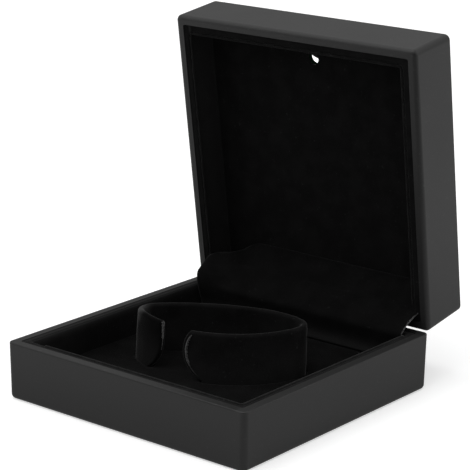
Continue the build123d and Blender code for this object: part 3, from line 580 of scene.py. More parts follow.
# %% [markdown]
# ## Building meshes from rows of points
# Most soft pieces here are skins over a grid: a row of points for each step along the piece. One
# helper turns points and faces into a piece with its finish, and one lists the faces of a grid. The
# points are in millimetres, as on a maker's drawing, and become metres when the piece is made.

# %% Mesh helpers
WELD_DISTANCE = 0.002
SEED_GAP = 17.3


def make_piece(name, points, faces, finish):
    """A smooth piece from points in millimetres."""
    mesh = bpy.data.meshes.new(name)
    mesh.from_pydata([tuple(MM * c for c in point) for point in points], [], faces)
    mesh.materials.append(finish)
    solid = bmesh.new()
    solid.from_mesh(mesh)
    bmesh.ops.remove_doubles(solid, verts=solid.verts, dist=WELD_DISTANCE * MM)
    bmesh.ops.recalc_face_normals(solid, faces=solid.faces)
    solid.to_mesh(mesh)
    solid.free()
    mesh.shade_smooth()
    piece = bpy.data.objects.new(name, mesh)
    scene.collection.objects.link(piece)
    print(name, "has", len(mesh.polygons), "faces")
    return piece


def grid_faces(rows, columns, wrap=False):
    """Four-sided faces between neighbours in a grid of points, row after row."""
    faces = []
    for row in range(rows - 1):
        for column in range(columns if wrap else columns - 1):
            beside = (column + 1) % columns
            faces.append((row * columns + column, row * columns + beside,
                          (row + 1) * columns + beside, (row + 1) * columns + column))
    return faces


def smooth_step(value):
    value = min(1.0, max(0.0, value))
    return value * value * (3 - 2 * value)


def ripple(x, y, z, size, seed):
    """A gentle random swell between about -1 and 1, with swells one size wide."""
    return noise.noise(Vector((x / size, y / size, z / size + SEED_GAP * seed)))


def way_along(line):
    """How far along a line of points each of them is."""
    return np.concatenate([[0], np.cumsum(np.hypot(*np.diff(line, axis=0).T))])


print("mesh helpers ready")

# %% [markdown]
# ## The bangle holder
# The holder is a strip bent into a C and wrapped in velvet, which stands in a slit of the pad. Its
# line is a chain of bends, as the strip was bent by hand: two tight bends at the ends of an oval, and
# long slack ones between. A curve through a few points could follow it too, but bends keep the same
# line as the solid that it stands for. The cover is a pillow over the strip: two walls that close in
# a half round at the crest and at both tips.

# %% The line of the holder
HOLDER_START = (-2.7, -16.55)
HOLDER_HEADING = 5.3
HOLDER_RADII = (31.8, 29.1, 6.8, 28.1, 65.3, 5.3, 41.3)
HOLDER_TURNS = (45.9, 30.0, 81.7, 31.1, 33.3, 105.4, 20.0)
HOLDER_FLARE = 1.0
LINE_STEP = 0.25


def facing(degrees):
    """The direction that faces out of the C where the strip has that heading."""
    return np.array((math.sin(math.radians(degrees)), -math.cos(math.radians(degrees))))


def flared_radii(flare):
    """The bends where the left half stands out by a flare, taken up by the long bends at the back."""
    headings = HOLDER_HEADING + np.cumsum((0,) + HOLDER_TURNS)
    spans = [facing(headings[k + 1]) - facing(headings[k]) for k in (3, 4)]
    change = np.linalg.solve(np.array(spans).T, flare * facing(headings[5]))
    return np.array(HOLDER_RADII) + (0, 0, 0, *change, flare, flare)


def bent_line(flare):
    """Points along the chain of bends, with the direction that faces out of the C at each."""
    place = np.array(HOLDER_START)
    heading = HOLDER_HEADING
    line = []
    for radius, plain_radius, degrees in zip(flared_radii(flare), HOLDER_RADII, HOLDER_TURNS):
        centre = place - radius * facing(heading)
        count = math.ceil(plain_radius * math.radians(degrees) / LINE_STEP)
        for i in range(count):
            out = facing(heading + degrees * i / count)
            line.append((*(centre + radius * out), *out))
        heading += degrees
        place = centre + radius * facing(heading)
    line.append((*place, *facing(heading)))
    return np.array(line)


crest_line = bent_line(0)
foot_line = bent_line(HOLDER_FLARE)
holder_way = way_along(crest_line[:, :2])
print("the strip is", round(holder_way[-1], 1), "mm long")

# %% Where the two tips end at each height
pad_box = [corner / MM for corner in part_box("platform_pad")]
cover_box = [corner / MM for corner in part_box("holder_cover")]
PAD_TOP = pad_box[1].z
HOLDER_FOOT = cover_box[0].z
HOLDER_TOP = cover_box[1].z
HOLDER_HALF = 1.05
TIP_HEIGHT_LEFT = 20.0
TIP_HEIGHT_RIGHT = 19.4
LEFT_TIP = -11.8
LEFT_TIP_RADIUS = 12.5
LEFT_TIP_REACH = 12.0
RIGHT_TIP = -2.0
RIGHT_TIP_RADIUS = 9.8
RIGHT_TIP_REACH = 9.3


def line_at(z):
    """The line of the strip at a height, between its line at the crest and the one at its foot."""
    return crest_line + (foot_line - crest_line) * (HOLDER_TOP - z) / (HOLDER_TOP - HOLDER_FOOT)


def left_tip(z):
    """The left tip is straight above its widest height and draws back in an arc below it."""
    drop = min(max(0.0, TIP_HEIGHT_LEFT - z), LEFT_TIP_REACH)
    return LEFT_TIP - LEFT_TIP_RADIUS + math.sqrt(LEFT_TIP_RADIUS ** 2 - drop ** 2)


def right_tip(z):
    """The right tip is one arc from its foot to the crest."""
    rise = min(abs(z - TIP_HEIGHT_RIGHT), RIGHT_TIP_REACH)
    return RIGHT_TIP + RIGHT_TIP_RADIUS - math.sqrt(RIGHT_TIP_RADIUS ** 2 - rise ** 2)


def tip_ways(z):
    """How far along the strip its right and its left tip are at a height, each in an end sixth of it."""
    line = line_at(z)
    near = len(line) // 6
    return (float(np.interp(right_tip(z), line[:near, 0], holder_way[:near])),
            float(np.interp(left_tip(z), line[-near:, 0], holder_way[-near:])))


print("tips at", [round(way, 1) for way in tip_ways(HOLDER_TOP)], "mm along the strip")

# %% [markdown]
# The walls of the cover are sampled closely near the tips and the crest, where they close, and
# loosely elsewhere. A velvet cover is never quite even: it swells where the pile is combed and
# tightens at the tips, so both walls get a swell of a tenth of a millimetre.

# %% The velvet cover of the holder
CLOSING = (0.0, 0.06, 0.16, 0.32, 0.52, 0.76, 1.05, 1.5, 2.2)
WALL_STEP = 0.9
SWELL = 0.12
SWELL_SIZE = 5.0


def closing_steps(start, end):
    """Places from start to end, close together near both, as the wall closes there."""
    low = [start + step for step in CLOSING]
    high = [end - step for step in reversed(CLOSING)]
    count = math.ceil((high[0] - low[-1]) / WALL_STEP)
    middle = [low[-1] + (high[0] - low[-1]) * i / count for i in range(1, count)]
    return low + middle + high


def half_round(distance):
    """The share of the full thickness at a distance from an edge."""
    inward = 1 - min(1.0, distance / HOLDER_HALF)
    return math.sqrt(max(0.0, 1 - inward * inward))


def holder_spot(way, z, side):
    """A point that far out of the middle of the strip, or into the C where side is negative."""
    line = line_at(z)
    x, y, out_x, out_y = (np.interp(way, holder_way, line[:, k]) for k in range(4))
    return x + side * out_x, y + side * out_y


def velvet_holder():
    levels = closing_steps(HOLDER_FOOT, HOLDER_TOP)
    columns = len(closing_steps(*tip_ways(HOLDER_TOP)))
    points = []
    for side, heights in ((1, levels), (-1, reversed(levels))):
        for z in heights:
            start, end = tip_ways(z)
            ways = closing_steps(start, end)
            share = np.linspace(0, 1, columns)
            ways = np.interp(share, np.linspace(0, 1, len(ways)), ways)
            for way in ways:
                closing = half_round(way - start) * half_round(end - way) * half_round(HOLDER_TOP - z)
                x, y = holder_spot(way, z, 0)
                swell = SWELL * ripple(x, y, z, SWELL_SIZE, side)
                points.append((*holder_spot(way, z, side * closing * (HOLDER_HALF + swell)), z))
    rows = 2 * len(levels)
    return make_piece("velvet_holder", points, grid_faces(rows, columns), holder_velvet)


holder = velvet_holder()
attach(holder, "base")
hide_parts("holder_cover")

# %% [markdown]
# ## Ragged seams
# The sleeve of the holder is closed at both tips by gluing its cut edges down, and the pale backing
# of the velvet shows there as a bright ragged line. A texture could draw such a line, but it would
# lie flat in the surface. So each is a thin bead of its own: a half round laid along the edge, whose
# width wanders from step to step.

# %% A ragged bead along an edge
BEAD_SIDES = 8
BEAD_SUNK = 0.5
FRAY = 0.7
WANDER_STEP = 0.7
WANDER_GAP = 3.1


def ragged_bead(name, rows, finish, seed, fray=FRAY, sunk=BEAD_SUNK):
    """A bead along rows of a middle point, its half width across and how far it stands out."""
    points = []
    for k, (middle, across, out) in enumerate(rows):
        wander = fray * noise.noise(Vector((WANDER_STEP * k, WANDER_GAP * seed, 0)))
        for i in range(BEAD_SIDES):
            angle = 2 * math.pi * i / BEAD_SIDES
            rise = math.sin(angle) * (1 if i < BEAD_SIDES / 2 else sunk)
            points.append(middle + (1 + wander) * (math.cos(angle) * across + rise * out) + wander * across)
    faces = grid_faces(len(rows), BEAD_SIDES, wrap=True)
    last = len(points) - BEAD_SIDES
    faces += [tuple(range(BEAD_SIDES)), tuple(range(last, last + BEAD_SIDES))]
    return make_piece(name, points, faces, finish)


print("bead helper ready")

# %% Where a seam lies on the round of a tip
def tip_spot(z, left, step, radius):
    """A point beside a tip, one step round from its end towards the outer wall, at that radius."""
    start, end = tip_ways(z)
    angle = min(step / HOLDER_HALF, math.pi / 2)
    along = HOLDER_HALF - radius * math.cos(angle) + max(0.0, step - HOLDER_HALF * math.pi / 2)
    way = end - along if left else start + along
    reach = radius * math.sin(angle) * half_round(HOLDER_TOP - z)
    return Vector((*holder_spot(way, z, reach), z))


print("left tip at the crest:", [round(c, 1) for c in tip_spot(HOLDER_TOP, True, 0, HOLDER_HALF)], "mm")

# %% The glued seams at both tips
SEAM_STEP = 0.3
SEAM_RISE = 0.8
NUDGE = 0.2
LEFT_SEAM_AT = 0.35
LEFT_SEAM = [(0.15, 0.3), (0.8, 0.48), (3.0, 0.36), (5.4, 0.3), (6.2, 0.14), (9.6, 0.1), (10.2, 0.04)]
RIGHT_SEAM_AT = 2.3
RIGHT_SEAM = [(1.2, 0.12), (2.0, 0.3), (5.0, 0.44), (10.0, 0.4), (11.5, 0.25), (12.2, 0.05), (15.0, 0.07)]


def tip_seam(name, left, step, spans):
    """A seam down a tip, with its half width at each depth under the crest."""
    depths, widths = zip(*spans)
    rows = []
    for depth in np.arange(depths[0], depths[-1], SEAM_STEP):
        z = HOLDER_TOP - depth
        width = float(np.interp(depth, depths, widths))
        middle = tip_spot(z, left, step, HOLDER_HALF)
        beside = tip_spot(z, left, step + NUDGE, HOLDER_HALF)
        out = (tip_spot(z, left, step, HOLDER_HALF + NUDGE) - middle).normalized()
        rows.append((middle, (beside - middle).normalized() * width, out * SEAM_RISE * width))
    seam = ragged_bead(name, rows, cut_edge, seed=step)
    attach(seam, "base")


tip_seam("left_seam", True, LEFT_SEAM_AT, LEFT_SEAM)
tip_seam("right_seam", False, RIGHT_SEAM_AT, RIGHT_SEAM)

# %% [markdown]
# ## The flocked rims of both trays
# Flock gathers on the edge of the sheet that it is shot at, so a soft low bead runs along the mouth of each tray.
# Its paler flock paints the sheen line of the lip, as a painted highlight. In the base it stays open at the back,
# where the velvet strip crosses, and on the left, where the lip shows no such line. The lid's bead is drawn on the
# shut lid, and each point is then swung open.

# %% Where a point of the shut lid is while the lid stands open
def swung(y, z):
    """Where a point of the shut lid is while the lid stands open."""
    along, up = y - PIVOT_Y, z - PIVOT_Z
    return (PIVOT_Y + along * math.cos(OPEN) + up * math.sin(OPEN),
            PIVOT_Z - along * math.sin(OPEN) + up * math.cos(OPEN))


print("the pivot stays at", [round(c, 2) for c in swung(PIVOT_Y, PIVOT_Z)], "mm")

# %% The mouth of a tray
FLANGE_WIDTH = 2.4
MOUTH_CORNER = 1.2
MOUTH_CORNER_STEPS = 6
BEAD_STEP = 0.8
BEAD_SHORT = 2.0
liner_box = [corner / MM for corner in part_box("base_liner")]


def mouth_path(inset):
    """Places on the left, free and right side of a mouth, with the direction that faces out of it."""
    half_x = liner_box[1].x - FLANGE_WIDTH - inset
    half_y = liner_box[1].y - FLANGE_WIDTH - inset
    corner_x, corner_y = half_x - MOUTH_CORNER, half_y - MOUTH_CORNER
    path = []
    sides = (((-1, 0), (-half_x, corner_y - BEAD_SHORT), (-half_x, -corner_y)),
             ((0, -1), (-corner_x, -half_y), (corner_x, -half_y)),
             ((1, 0), (half_x, -corner_y), (half_x, corner_y - BEAD_SHORT)))
    for k, (out, first, last) in enumerate(sides):
        count = math.ceil(math.dist(first, last) / BEAD_STEP)
        for t in np.linspace(0, 1, count + 1):
            path.append((first[0] + (last[0] - first[0]) * t, first[1] + (last[1] - first[1]) * t, *out))
        if k < 2:
            for i in range(1, MOUTH_CORNER_STEPS):
                angle = math.pi * (1 + k / 2 + i / (2 * MOUTH_CORNER_STEPS))
                out_x, out_y = math.cos(angle), math.sin(angle)
                path.append(((2 * k - 1) * corner_x + MOUTH_CORNER * out_x,
                             -corner_y + MOUTH_CORNER * out_y, out_x, out_y))
    return path


print(len(mouth_path(0)), "places along a mouth")

# %% A bead of flock along the mouth of each tray
BASE_BEAD = (0.55, 0.38)
BEAD_FROM_X = -38.0
LID_BEAD = (0.4, 0.12)
LID_BEAD_INSET = 0.35
LID_FLANGE_Z = 20.15


def base_bead():
    width, rise = BASE_BEAD
    rows = [(Vector((x, y, liner_box[1].z)), Vector((out_x, out_y, 0)) * width, Vector((0, 0, rise)))
            for x, y, out_x, out_y in mouth_path(-width) if x > BEAD_FROM_X]
    return ragged_bead("base_flock_bead", rows, painted_sheen_flock, seed=4, fray=0.12, sunk=1.6)


def lid_bead():
    width, rise = LID_BEAD
    rows = []
    for x, y, out_x, out_y in mouth_path(LID_BEAD_INSET):
        middle = Vector((x, *swung(y, LID_FLANGE_Z)))
        beside = Vector((x + out_x, *swung(y + out_y, LID_FLANGE_Z)))
        proud = Vector((x, *swung(y, LID_FLANGE_Z - 1)))
        rows.append((middle, (beside - middle) * width, (proud - middle) * rise))
    return ragged_bead("lid_flock_bead", rows, lid_painted_sheen_flock, seed=6, fray=0.5, sunk=3.0)


for bead, body in ((base_bead(), "base"), (lid_bead(), "lid")):
    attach(bead, body)

# %% [markdown]
# ## The pad
# The pad is a foam board wrapped in velvet, with a slit that the holder stands in. Its top is nearly
# flat, its edges are soft, and the velvet is tucked down into the slit. A grid of squares would show
# steps along a curved slit. So the outlines of the slit and of the pad are drawn as loops, plain
# points fill the rest, and a Delaunay triangulation joins them all. The height then follows from the
# distance to the nearest loop.

# %% Loops round the slit and round the pad
SLIT_ROOM = 0.15
SLIT_HALF = HOLDER_HALF + SLIT_ROOM
TUCK = 0.9
PAD_EDGE = 1.0
LOOP_STEPS = (0.0, 0.08, 0.2, 0.4, 0.65, 0.95, 1.6, 2.4)
PAD_CORNER = 1.6
CORNER_STEPS = 6
LEAST_CORNER = 0.3
SIDE_STEPS = 60
LOOP_POINT_STEP = 0.8
ROUND_STEPS = 8
SLIT_SHORT = 1.0
slit_start, slit_end = tip_ways(PAD_TOP)
slit_start += SLIT_SHORT
slit_end -= SLIT_SHORT


def straight(first, last):
    """The points between two others on a straight side, evenly spaced."""
    shares = [i / SIDE_STEPS for i in range(1, SIDE_STEPS)]
    return [(first[0] + (last[0] - first[0]) * t, first[1] + (last[1] - first[1]) * t) for t in shares]


def slit_loop(reach):
    """A closed loop round the slit, that far from its middle line."""
    ways = np.linspace(slit_start, slit_end, math.ceil((slit_end - slit_start) / LOOP_POINT_STEP))
    loop = [holder_spot(way, PAD_TOP, reach) for way in ways]
    for way, first in ((slit_end, 1), (slit_start, -1)):
        x, y = holder_spot(way, PAD_TOP, 0)
        tip_x, tip_y = holder_spot(way, PAD_TOP, first)
        start = math.atan2(tip_y - y, tip_x - x)
        turns = [start + math.pi * i / ROUND_STEPS for i in range(1, ROUND_STEPS)]
        loop += [(x + reach * math.cos(turn), y + reach * math.sin(turn)) for turn in turns]
        if first == 1:
            loop += [holder_spot(w, PAD_TOP, -reach) for w in reversed(ways)]
    return loop


def pad_loop(inset):
    """A rounded square, that far inside the pad's side."""
    half_x = pad_box[1].x - inset
    half_y = pad_box[1].y - inset
    corner = max(LEAST_CORNER, PAD_CORNER - inset)
    loop = []
    for k, (side_x, side_y) in enumerate(((1, 1), (-1, 1), (-1, -1), (1, -1))):
        bend = [math.pi / 2 * (k + i / CORNER_STEPS) for i in range(CORNER_STEPS + 1)]
        points = [(side_x * (half_x - corner) + corner * math.cos(angle),
                   side_y * (half_y - corner) + corner * math.sin(angle)) for angle in bend]
        if loop:
            loop += straight(loop[-1], points[0])
        loop += points
    return loop + straight(loop[-1], loop[0])


print("slit from", round(slit_start, 1), "to", round(slit_end, 1), "mm along the strip")

# %% The height of the pad's velvet
PUCKER = 0.10
PUCKER_SIZE = 3.0
PAD_SWELL = 0.06
PAD_SWELL_SIZE = 14.0
FAR = 99.0


def pad_height(to_slit, to_side, x, y):
    """Height of the velvet at a distance from the slit and from the side of the pad."""
    tuck = 1 - min(1.0, to_slit / TUCK)
    edge = 1 - min(1.0, to_side / PAD_EDGE)
    drop = TUCK * (1 - math.sqrt(1 - tuck * tuck)) + PAD_EDGE * (1 - math.sqrt(1 - edge * edge))
    puckers = PUCKER * ripple(x, y, 0, PUCKER_SIZE, 2) * math.exp(-to_slit / PUCKER_SIZE)
    return PAD_TOP - drop + puckers + PAD_SWELL * ripple(x, y, 0, PAD_SWELL_SIZE, 3) - PAD_SWELL


print("velvet at", round(pad_height(FAR, FAR, 0, 0), 2), "mm in the middle of the pad")

# %% The points of the pad
POINT_STEP = 1.4
LINE_SKIP = 3


def pad_rings():
    """The loops round the slit and round the pad, each with its distances from the slit and the side."""
    rings = [(slit_loop(SLIT_HALF + reach), (reach, FAR)) for reach in LOOP_STEPS]
    return rings + [(pad_loop(inset), (FAR, inset)) for inset in LOOP_STEPS]


def plain_spots():
    """The points of an even grid that are clear of every loop, with the same two distances."""
    line = line_at(PAD_TOP)[(holder_way > slit_start) & (holder_way < slit_end)][::LINE_SKIP, :2]
    limit_x = pad_box[1].x - LOOP_STEPS[-1] - POINT_STEP / 2
    limit_y = pad_box[1].y - LOOP_STEPS[-1] - POINT_STEP / 2
    spots = []
    for x in np.linspace(-limit_x, limit_x, math.ceil(2 * limit_x / POINT_STEP)):
        for y in np.linspace(-limit_y, limit_y, math.ceil(2 * limit_y / POINT_STEP)):
            away = float(np.hypot(line[:, 0] - x, line[:, 1] - y).min())
            if away > SLIT_HALF + LOOP_STEPS[-1] + POINT_STEP / 2:
                spots.append(((x, y), (away - SLIT_HALF, FAR)))
    return spots


print(len(pad_rings()), "loops and", len(plain_spots()), "plain points")

# %% The velvet pad
MERGE_WITHIN = 1e-5


def open_edges(faces):
    """The edges that only one face has, in the direction that the face has them."""
    sides = dict.fromkeys(side for face in faces for side in zip(face, face[1:] + face[:1]))
    return [(a, b) for a, b in sides if (b, a) not in sides]


def velvet_pad():
    rings = pad_rings()
    spots = []
    links = []
    facts = []
    for loop, fact in rings:
        links += [(len(spots) + i, len(spots) + (i + 1) % len(loop)) for i in range(len(loop))]
        spots += loop
        facts += [fact] * len(loop)
    for spot, fact in plain_spots():
        spots.append(spot)
        facts.append(fact)
    made = delaunay_2d_cdt([Vector(spot) for spot in spots], links, [], 0, MERGE_WITHIN)
    assert len(made[0]) == len(spots)
    slit = set(range(len(rings[0][0])))
    top = [tuple(face) for face in made[2] if not set(face) <= slit]
    points = [(x, y, pad_height(*fact, x, y)) for (x, y), fact in zip(spots, facts)]
    below = len(points)
    points += [(x, y, pad_box[0].z) for x, y in spots]
    faces = top + [tuple(below + i for i in reversed(face)) for face in top]
    faces += [(b, a, below + a, below + b) for a, b in open_edges(top)]
    return make_piece("velvet_pad", points, faces, pad_velvet)


pad = velvet_pad()
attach(pad, "base")
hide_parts("platform_pad")

# %% [markdown]
# ## The velvet strip over the hinge
# A strip of velvet is glued to the back wall of the tray and to the lid's panel, and it hides the hinge and its
# springs. Cloth simulation could drape it, but it is short, stiff with glue and held along both edges, so its
# slices are drawn as smooth lines and joined. At its left end it has come loose from the panel and stands in a
# larger bulge. Its points on the lid are given where the open lid holds them.

# %% The slices of the strip
STRIP_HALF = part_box("hinge_cover")[1].x / MM
STRIP_THICKNESS = 0.7
HEM_SHARE = 0.3
LOOSE_END = 15.0
SPAN_STEPS = 12
TIGHT = [(43.0, 9.7), (42.95, 12.6), (41.7, 16.8), (40.9, 19.9), (42.9, 22.2), (45.4, 24.5), (48.9, 26.3),
         swung(42.3, 23.2), swung(40.6, 27.8), swung(38.6, 30.4), swung(36.6, 30.9)]
LOOSE = [(43.0, 9.7), (42.9, 12.6), (41.2, 17.2), (40.2, 20.8), (40.4, 24.0), (41.7, 25.4), (43.8, 26.9),
         (46.3, 28.8), (50.0, 29.0), (54.0, 28.4), (58.0, 27.6)]


def smooth_line(corners, count):
    """Evenly spaced points on a smooth line through the corners."""
    corners = np.array(corners)
    ends = np.vstack([2 * corners[0] - corners[1], corners, 2 * corners[-1] - corners[-2]])
    line = []
    for a, b, c, d in zip(ends, ends[1:], ends[2:], ends[3:]):
        for t in np.linspace(0, 1, SPAN_STEPS, endpoint=False):
            line.append(0.5 * (2 * b + (c - a) * t + (2 * a - 5 * b + 4 * c - d) * t ** 2
                               + (3 * b - a - 3 * c + d) * t ** 3))
    line = np.array(line + [corners[-1]])
    way = way_along(line)
    even = np.linspace(0, way[-1], count)
    return np.stack([np.interp(even, way, line[:, k]) for k in range(2)], axis=1), way[-1]


for name, corners in (("tight", TIGHT), ("loose", LOOSE)):
    print(name, "slice is", round(smooth_line(corners, 2)[1], 1), "mm long")

# %% The folds and the spread end of the strip
ACROSS = 56
FOLDS = ((0.55, 11.0, 5), (0.3, 4.5, 6))
FOLD_GAP = 3.0
FOLD_SLANT = 0.7
END_FLARE = [(0.2, 0.0), (0.3, 0.4), (0.42, 0.75), (0.52, 1.4), (0.62, 2.2), (0.67, 0.9), (0.71, 0.0)]


def strip_slice(x):
    """The middle line of the strip at a place along the hinge, with its folds."""
    slack = 1 - smooth_step((x + STRIP_HALF) / LOOSE_END)
    corners = []
    for k, (tight, loose) in enumerate(zip(TIGHT, LOOSE)):
        free = math.sin(math.pi * k / (len(TIGHT) - 1)) ** 2
        wave = free * sum(rise * ripple(x, 0, k * FOLD_GAP, width, seed) for rise, width, seed in FOLDS)
        y = tight[0] + (loose[0] - tight[0]) * slack
        z = tight[1] + (loose[1] - tight[1]) * slack
        corners.append((y - FOLD_SLANT * wave, z + FOLD_SLANT * wave))
    return smooth_line(corners, ACROSS)[0]


def end_flare(x, share):
    """How far the free middle of the strip spreads past the trays at its right end."""
    shares, reach = zip(*END_FLARE)
    return float(np.interp(share, shares, reach)) * smooth_step((x - STRIP_HALF) / LOOSE_END + 1)


print("the end spreads by", round(max(end_flare(STRIP_HALF, k / ACROSS) for k in range(ACROSS)), 1), "mm")

# %% The velvet strip
ALONG = 110
HEM_STEPS = 4


def strip_layers():
    """The points of the strip's front and of its back, which come closer at the hem on the lid."""
    layers = [[], []]
    fullness = [smooth_step((ACROSS - 1 - k) / HEM_STEPS) for k in range(ACROSS)]
    hem = HEM_SHARE + (1 - HEM_SHARE) * np.array(fullness)
    for x in np.linspace(-STRIP_HALF, STRIP_HALF, ALONG):
        line = strip_slice(x)
        step = np.gradient(line, axis=0)
        out = np.stack([-step[:, 1], step[:, 0]], axis=1) / np.hypot(step[:, 0], step[:, 1])[:, None]
        for layer, offset in zip(layers, (hem - 0.5, np.full(ACROSS, -0.5))):
            for k, (y, z) in enumerate(line + out * offset[:, None] * STRIP_THICKNESS):
                layer.append((x + end_flare(x, k / (ACROSS - 1)), y, z))
    return layers


def hinge_strip():
    front, back = strip_layers()
    count = len(front)
    skin = grid_faces(ALONG, ACROSS)
    faces = skin + [tuple(count + i for i in reversed(face)) for face in skin]
    ring = list(range(ACROSS)) + [i * ACROSS + ACROSS - 1 for i in range(1, ALONG)]
    ring += [(ALONG - 1) * ACROSS + k for k in range(ACROSS - 2, -1, -1)]
    ring += [i * ACROSS for i in range(ALONG - 2, 0, -1)]
    faces += [(a, b, count + b, count + a) for a, b in zip(ring, ring[1:] + ring[:1])]
    return make_piece("hinge_strip", front + back, faces, strip_velvet)


strip = hinge_strip()
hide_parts("hinge_cover")
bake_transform(strip)

# %% [markdown]
# The right end of the strip was cut across and has frayed: its pale threads make a bright ragged line where it
# bridges from the tray to the lid. It is a bead again, laid along the end slice of the strip.

# %% The frayed end of the strip
FRAYED = [(0.0, 0.1), (0.18, 0.12), (0.26, 0.22), (0.4, 0.26), (0.5, 0.36), (0.56, 0.2), (0.66, 0.14),
          (1.0, 0.08)]


def frayed_end():
    line = smooth_line(strip_slice(STRIP_HALF), 2 * ACROSS)[0]
    step = np.gradient(line, axis=0)
    shares, widths = zip(*FRAYED)
    rows = []
    for k, ((y, z), (run, rise)) in enumerate(zip(line, step)):
        share = k / (len(line) - 1)
        width = float(np.interp(share, shares, widths))
        middle = Vector((STRIP_HALF + end_flare(STRIP_HALF, share), y, z))
        rows.append((middle, Vector((0, -rise, run)).normalized() * width, Vector((width, 0, 0))))
    return ragged_bead("frayed_end", rows, cut_edge, seed=9)


fray = frayed_end()
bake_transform(fray)

# %% [markdown]
# ## The bow springs
# Two bent steel strips bridge the hinge, and snap the lid open or shut. They are bent in one way while the lid is
# open and in another while it is shut, so a rigid strip would cut through the shut lid. Each is built again here
# with enough steps along its arc, from its foot on the base to its head where the open lid holds it.

# %% The section and the arc of a spring
SPRING_FOOT = (45.75, 14.05)
SPRING_HEAD = swung(45.75, 25.65)
SPRING_RISE = 5.5
SPRING_STEPS = 30
SPRING_HALF = 3.0
SPRING_SKIN = 0.2
SPRING_EDGE = 0.1


def spring_section():
    """The flat section of a spring with its four edges broken: across, and off the middle of the steel."""
    half, skin = SPRING_HALF - SPRING_EDGE, SPRING_SKIN - SPRING_EDGE
    return [(-half, -SPRING_SKIN), (half, -SPRING_SKIN), (SPRING_HALF, -skin), (SPRING_HALF, skin),
            (half, SPRING_SKIN), (-half, SPRING_SKIN), (-SPRING_HALF, skin), (-SPRING_HALF, -skin)]


def bow_arc():
    """Steps on the arc over the hinge barrel: its centre, its radius and the way off the barrel."""
    foot, head = np.array(SPRING_FOOT), np.array(SPRING_HEAD)
    chord = float(np.hypot(*(head - foot)))
    across = np.array((-(head - foot)[1], (head - foot)[0])) / chord
    radius = (chord * chord / 4 + SPRING_RISE * SPRING_RISE) / (2 * SPRING_RISE)
    centre = (foot + head) / 2 + (SPRING_RISE - radius) * across
    first, last = (math.atan2(*reversed(place - centre)) % (2 * math.pi) for place in (foot, head))
    return [(centre, radius, np.array((math.cos(angle), math.sin(angle))))
            for angle in np.linspace(first, last, SPRING_STEPS)]


print("spring bent to a radius of", round(bow_arc()[0][1], 1), "mm")

# %% The two bow springs
SPRING_SPACING = 27.0


def snap_springs():
    points = []
    faces = []
    section = spring_section()
    count = len(section)
    for middle in (-SPRING_SPACING / 2, SPRING_SPACING / 2):
        base = len(points)
        for centre, radius, out in bow_arc():
            points += [(middle + x, *(centre + (radius + rise) * out)) for x, rise in section]
        faces += [tuple(base + i for i in face) for face in grid_faces(SPRING_STEPS, count, wrap=True)]
        faces += [tuple(range(base, base + count)), tuple(range(len(points) - count, len(points)))]
    return make_piece("snap_springs", points, faces, finishes["spring_steel"])


springs = snap_springs()
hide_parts("bow_springs")
SPRING_HEAD[0] * MM
SPRING_HEAD[1] * MM
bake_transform(springs)

# %% [markdown]
# ## Floor and light
# The box stands on a plain pale floor in even studio light. White paper would need more light than the box may
# get, so the floor adds a little glow of its own, which only the camera and the reflections see. In the
# reflections alone the paper is darker in front of the box, as on a small table with a dark room beyond, and it
# has a painted shadow close to the box, so that the coat doesn't mirror a white floor.

# %% The floor
FRONT = (math.sin(TURN), -math.cos(TURN), 0)
FLOOR_REACH = 8.0
FLOOR_FADE = (0.06, 0.3)
PAPER_TONE = 0.8
SEEN_GLOW = 0.45
MIRRORED_GLOW = 0.25
DARK_GLOW = 0.05
FRONT_DARK = 0.9
NEAR_PAINTED_SHADOW = 0.4


def make_floor():
    paper = Finish("paper", Roughness=1.0, Specular_IOR_Level=0.0)
    paper.set("Base Color", grey(PAPER_TONE))
    seen = paper.node("ShaderNodeLightPath", out=0)
    mirrored = paper.node("ShaderNodeLightPath", out=3)
    glow = paper.node("ShaderNodeEmission", {}, {
        "Color": grey(1.0), "Strength": SEEN_GLOW * seen + MIRRORED_GLOW * mirrored})
    lit = paper.node("ShaderNodeAddShader", {}, {0: Wire(paper, paper.surface.outputs[0]), 1: glow})
    unlit = paper.node("ShaderNodeEmission", {}, {"Color": grey(1.0), "Strength": DARK_GLOW})
    towards = paper.node("ShaderNodeVectorMath", {"operation": "DOT_PRODUCT"}, {
        0: paper.place, 1: FRONT}, out=1)
    away = paper.node("ShaderNodeVectorMath", {"operation": "LENGTH"}, {0: paper.place}, out=1)
    # Painted shadow: close to the box the paper is darker in the reflections.
    near = 1 - paper.sharpened(away, *FLOOR_FADE)
    dark = FRONT_DARK * paper.sharpened(towards, *FLOOR_FADE) + NEAR_PAINTED_SHADOW * near
    paper.plug(paper.tree.nodes["Material Output"].inputs["Surface"],
               paper.node("ShaderNodeMixShader", {}, {0: dark * mirrored, 1: lit, 2: unlit}))
    mesh = bpy.data.meshes.new("floor")
    corners = [(x * FLOOR_REACH, y * FLOOR_REACH, 0) for x, y in ((-1, -1), (1, -1), (1, 1), (-1, 1))]
    mesh.from_pydata(corners, [], [(0, 1, 2, 3)])
    mesh.materials.append(paper.material)
    floor = bpy.data.objects.new("floor", mesh)
    scene.collection.objects.link(floor)
    floor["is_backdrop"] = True


make_floor()
print("floor of", 2 * FLOOR_REACH, "m")

# %% [markdown]
# The world fills the shadows evenly. Its colour is white to the camera, and in reflections it is pale
# above and at the sides and dark in front, which gives the coat its soft change of tone. One large soft
# lamp above lights the upward faces, and one at each side lights the two faces that are seen.

# %% The world
FILL = 0.52
BRIGHT_SIDES = 0.7
DARK_FRONT = 0.1
FRONT_RANGE = (0.1, 0.8)
LOW_SHADE = 0.4
HIGH_SHADE = 1.2
HEIGHT_RANGE = (0.2, 0.6)


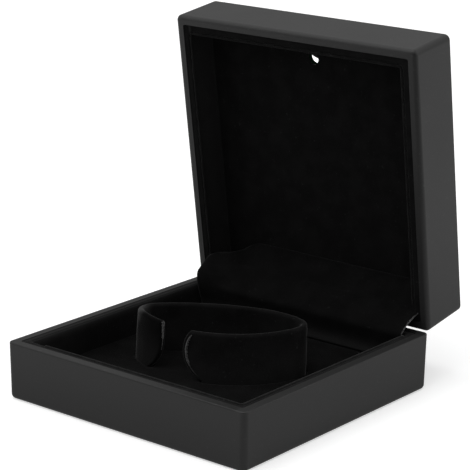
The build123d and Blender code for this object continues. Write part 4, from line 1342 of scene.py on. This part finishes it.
def make_world():
    world = bpy.data.worlds.new("studio")
    world.use_nodes = True
    scene.world = world
    air = Sheet(world.node_tree)
    camera_ray = air.node("ShaderNodeLightPath", out=0)
    glossy_ray = air.node("ShaderNodeLightPath", out=3)
    glass_ray = air.node("ShaderNodeLightPath", out=6)
    heading = air.node("ShaderNodeTexCoord")
    towards = air.node("ShaderNodeVectorMath", {"operation": "DOT_PRODUCT"}, {0: heading, 1: FRONT}, out=1)
    height = air.node("ShaderNodeSeparateXYZ", {}, {0: heading}, out=2)
    sides = BRIGHT_SIDES + (DARK_FRONT - BRIGHT_SIDES) * air.sharpened(towards, *FRONT_RANGE)
    shade = sides * (LOW_SHADE + (HIGH_SHADE - LOW_SHADE) * air.sharpened(height, *HEIGHT_RANGE))
    backdrop = air.tree.nodes["Background"]
    air.plug(backdrop.inputs["Color"], grey(1.0))
    air.plug(backdrop.inputs["Strength"],
             FILL + (1 - FILL) * (camera_ray + glass_ray) + (shade - FILL) * glossy_ray)


make_world()
print("world with a fill of", FILL)

# %% The lamps
LAMP_TARGET = (0, 0, 0.04)
LAMPS = (("overhead_lamp", (-0.2, -0.5, 1.6), 1.6, 14),
         ("right_lamp", (1.5, 0.7, 0.8), 1.0, 6.4),
         ("left_lamp", (-1.3, -0.9, 0.7), 1.0, 3.4))


def soft_lamp(name, place, size, power):
    data = bpy.data.lights.new(name, "AREA")
    data.shape = "SQUARE"
    data.size = size
    data.energy = power
    lamp = bpy.data.objects.new(name, data)
    lamp.location = place
    lamp.rotation_euler = (Vector(LAMP_TARGET) - Vector(place)).to_track_quat("-Z", "Y").to_euler()
    scene.collection.objects.link(lamp)


for lamp_facts in LAMPS:
    soft_lamp(*lamp_facts)
scene.view_settings.view_transform = "Standard"
print(len(LAMPS), "lamps")

# %% [markdown]
# ## Sizes
# The dressed box has to stay inside the box of the CAD model, apart from what cloth may stand proud.
# Both sizes are printed.

# %% Print the sizes and finish
low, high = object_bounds()
for name, sides in (("CAD box", cad_high - cad_low), ("dressed box", high - low)):
    print(name, [round(c / MM, 1) for c in sides], "mm")
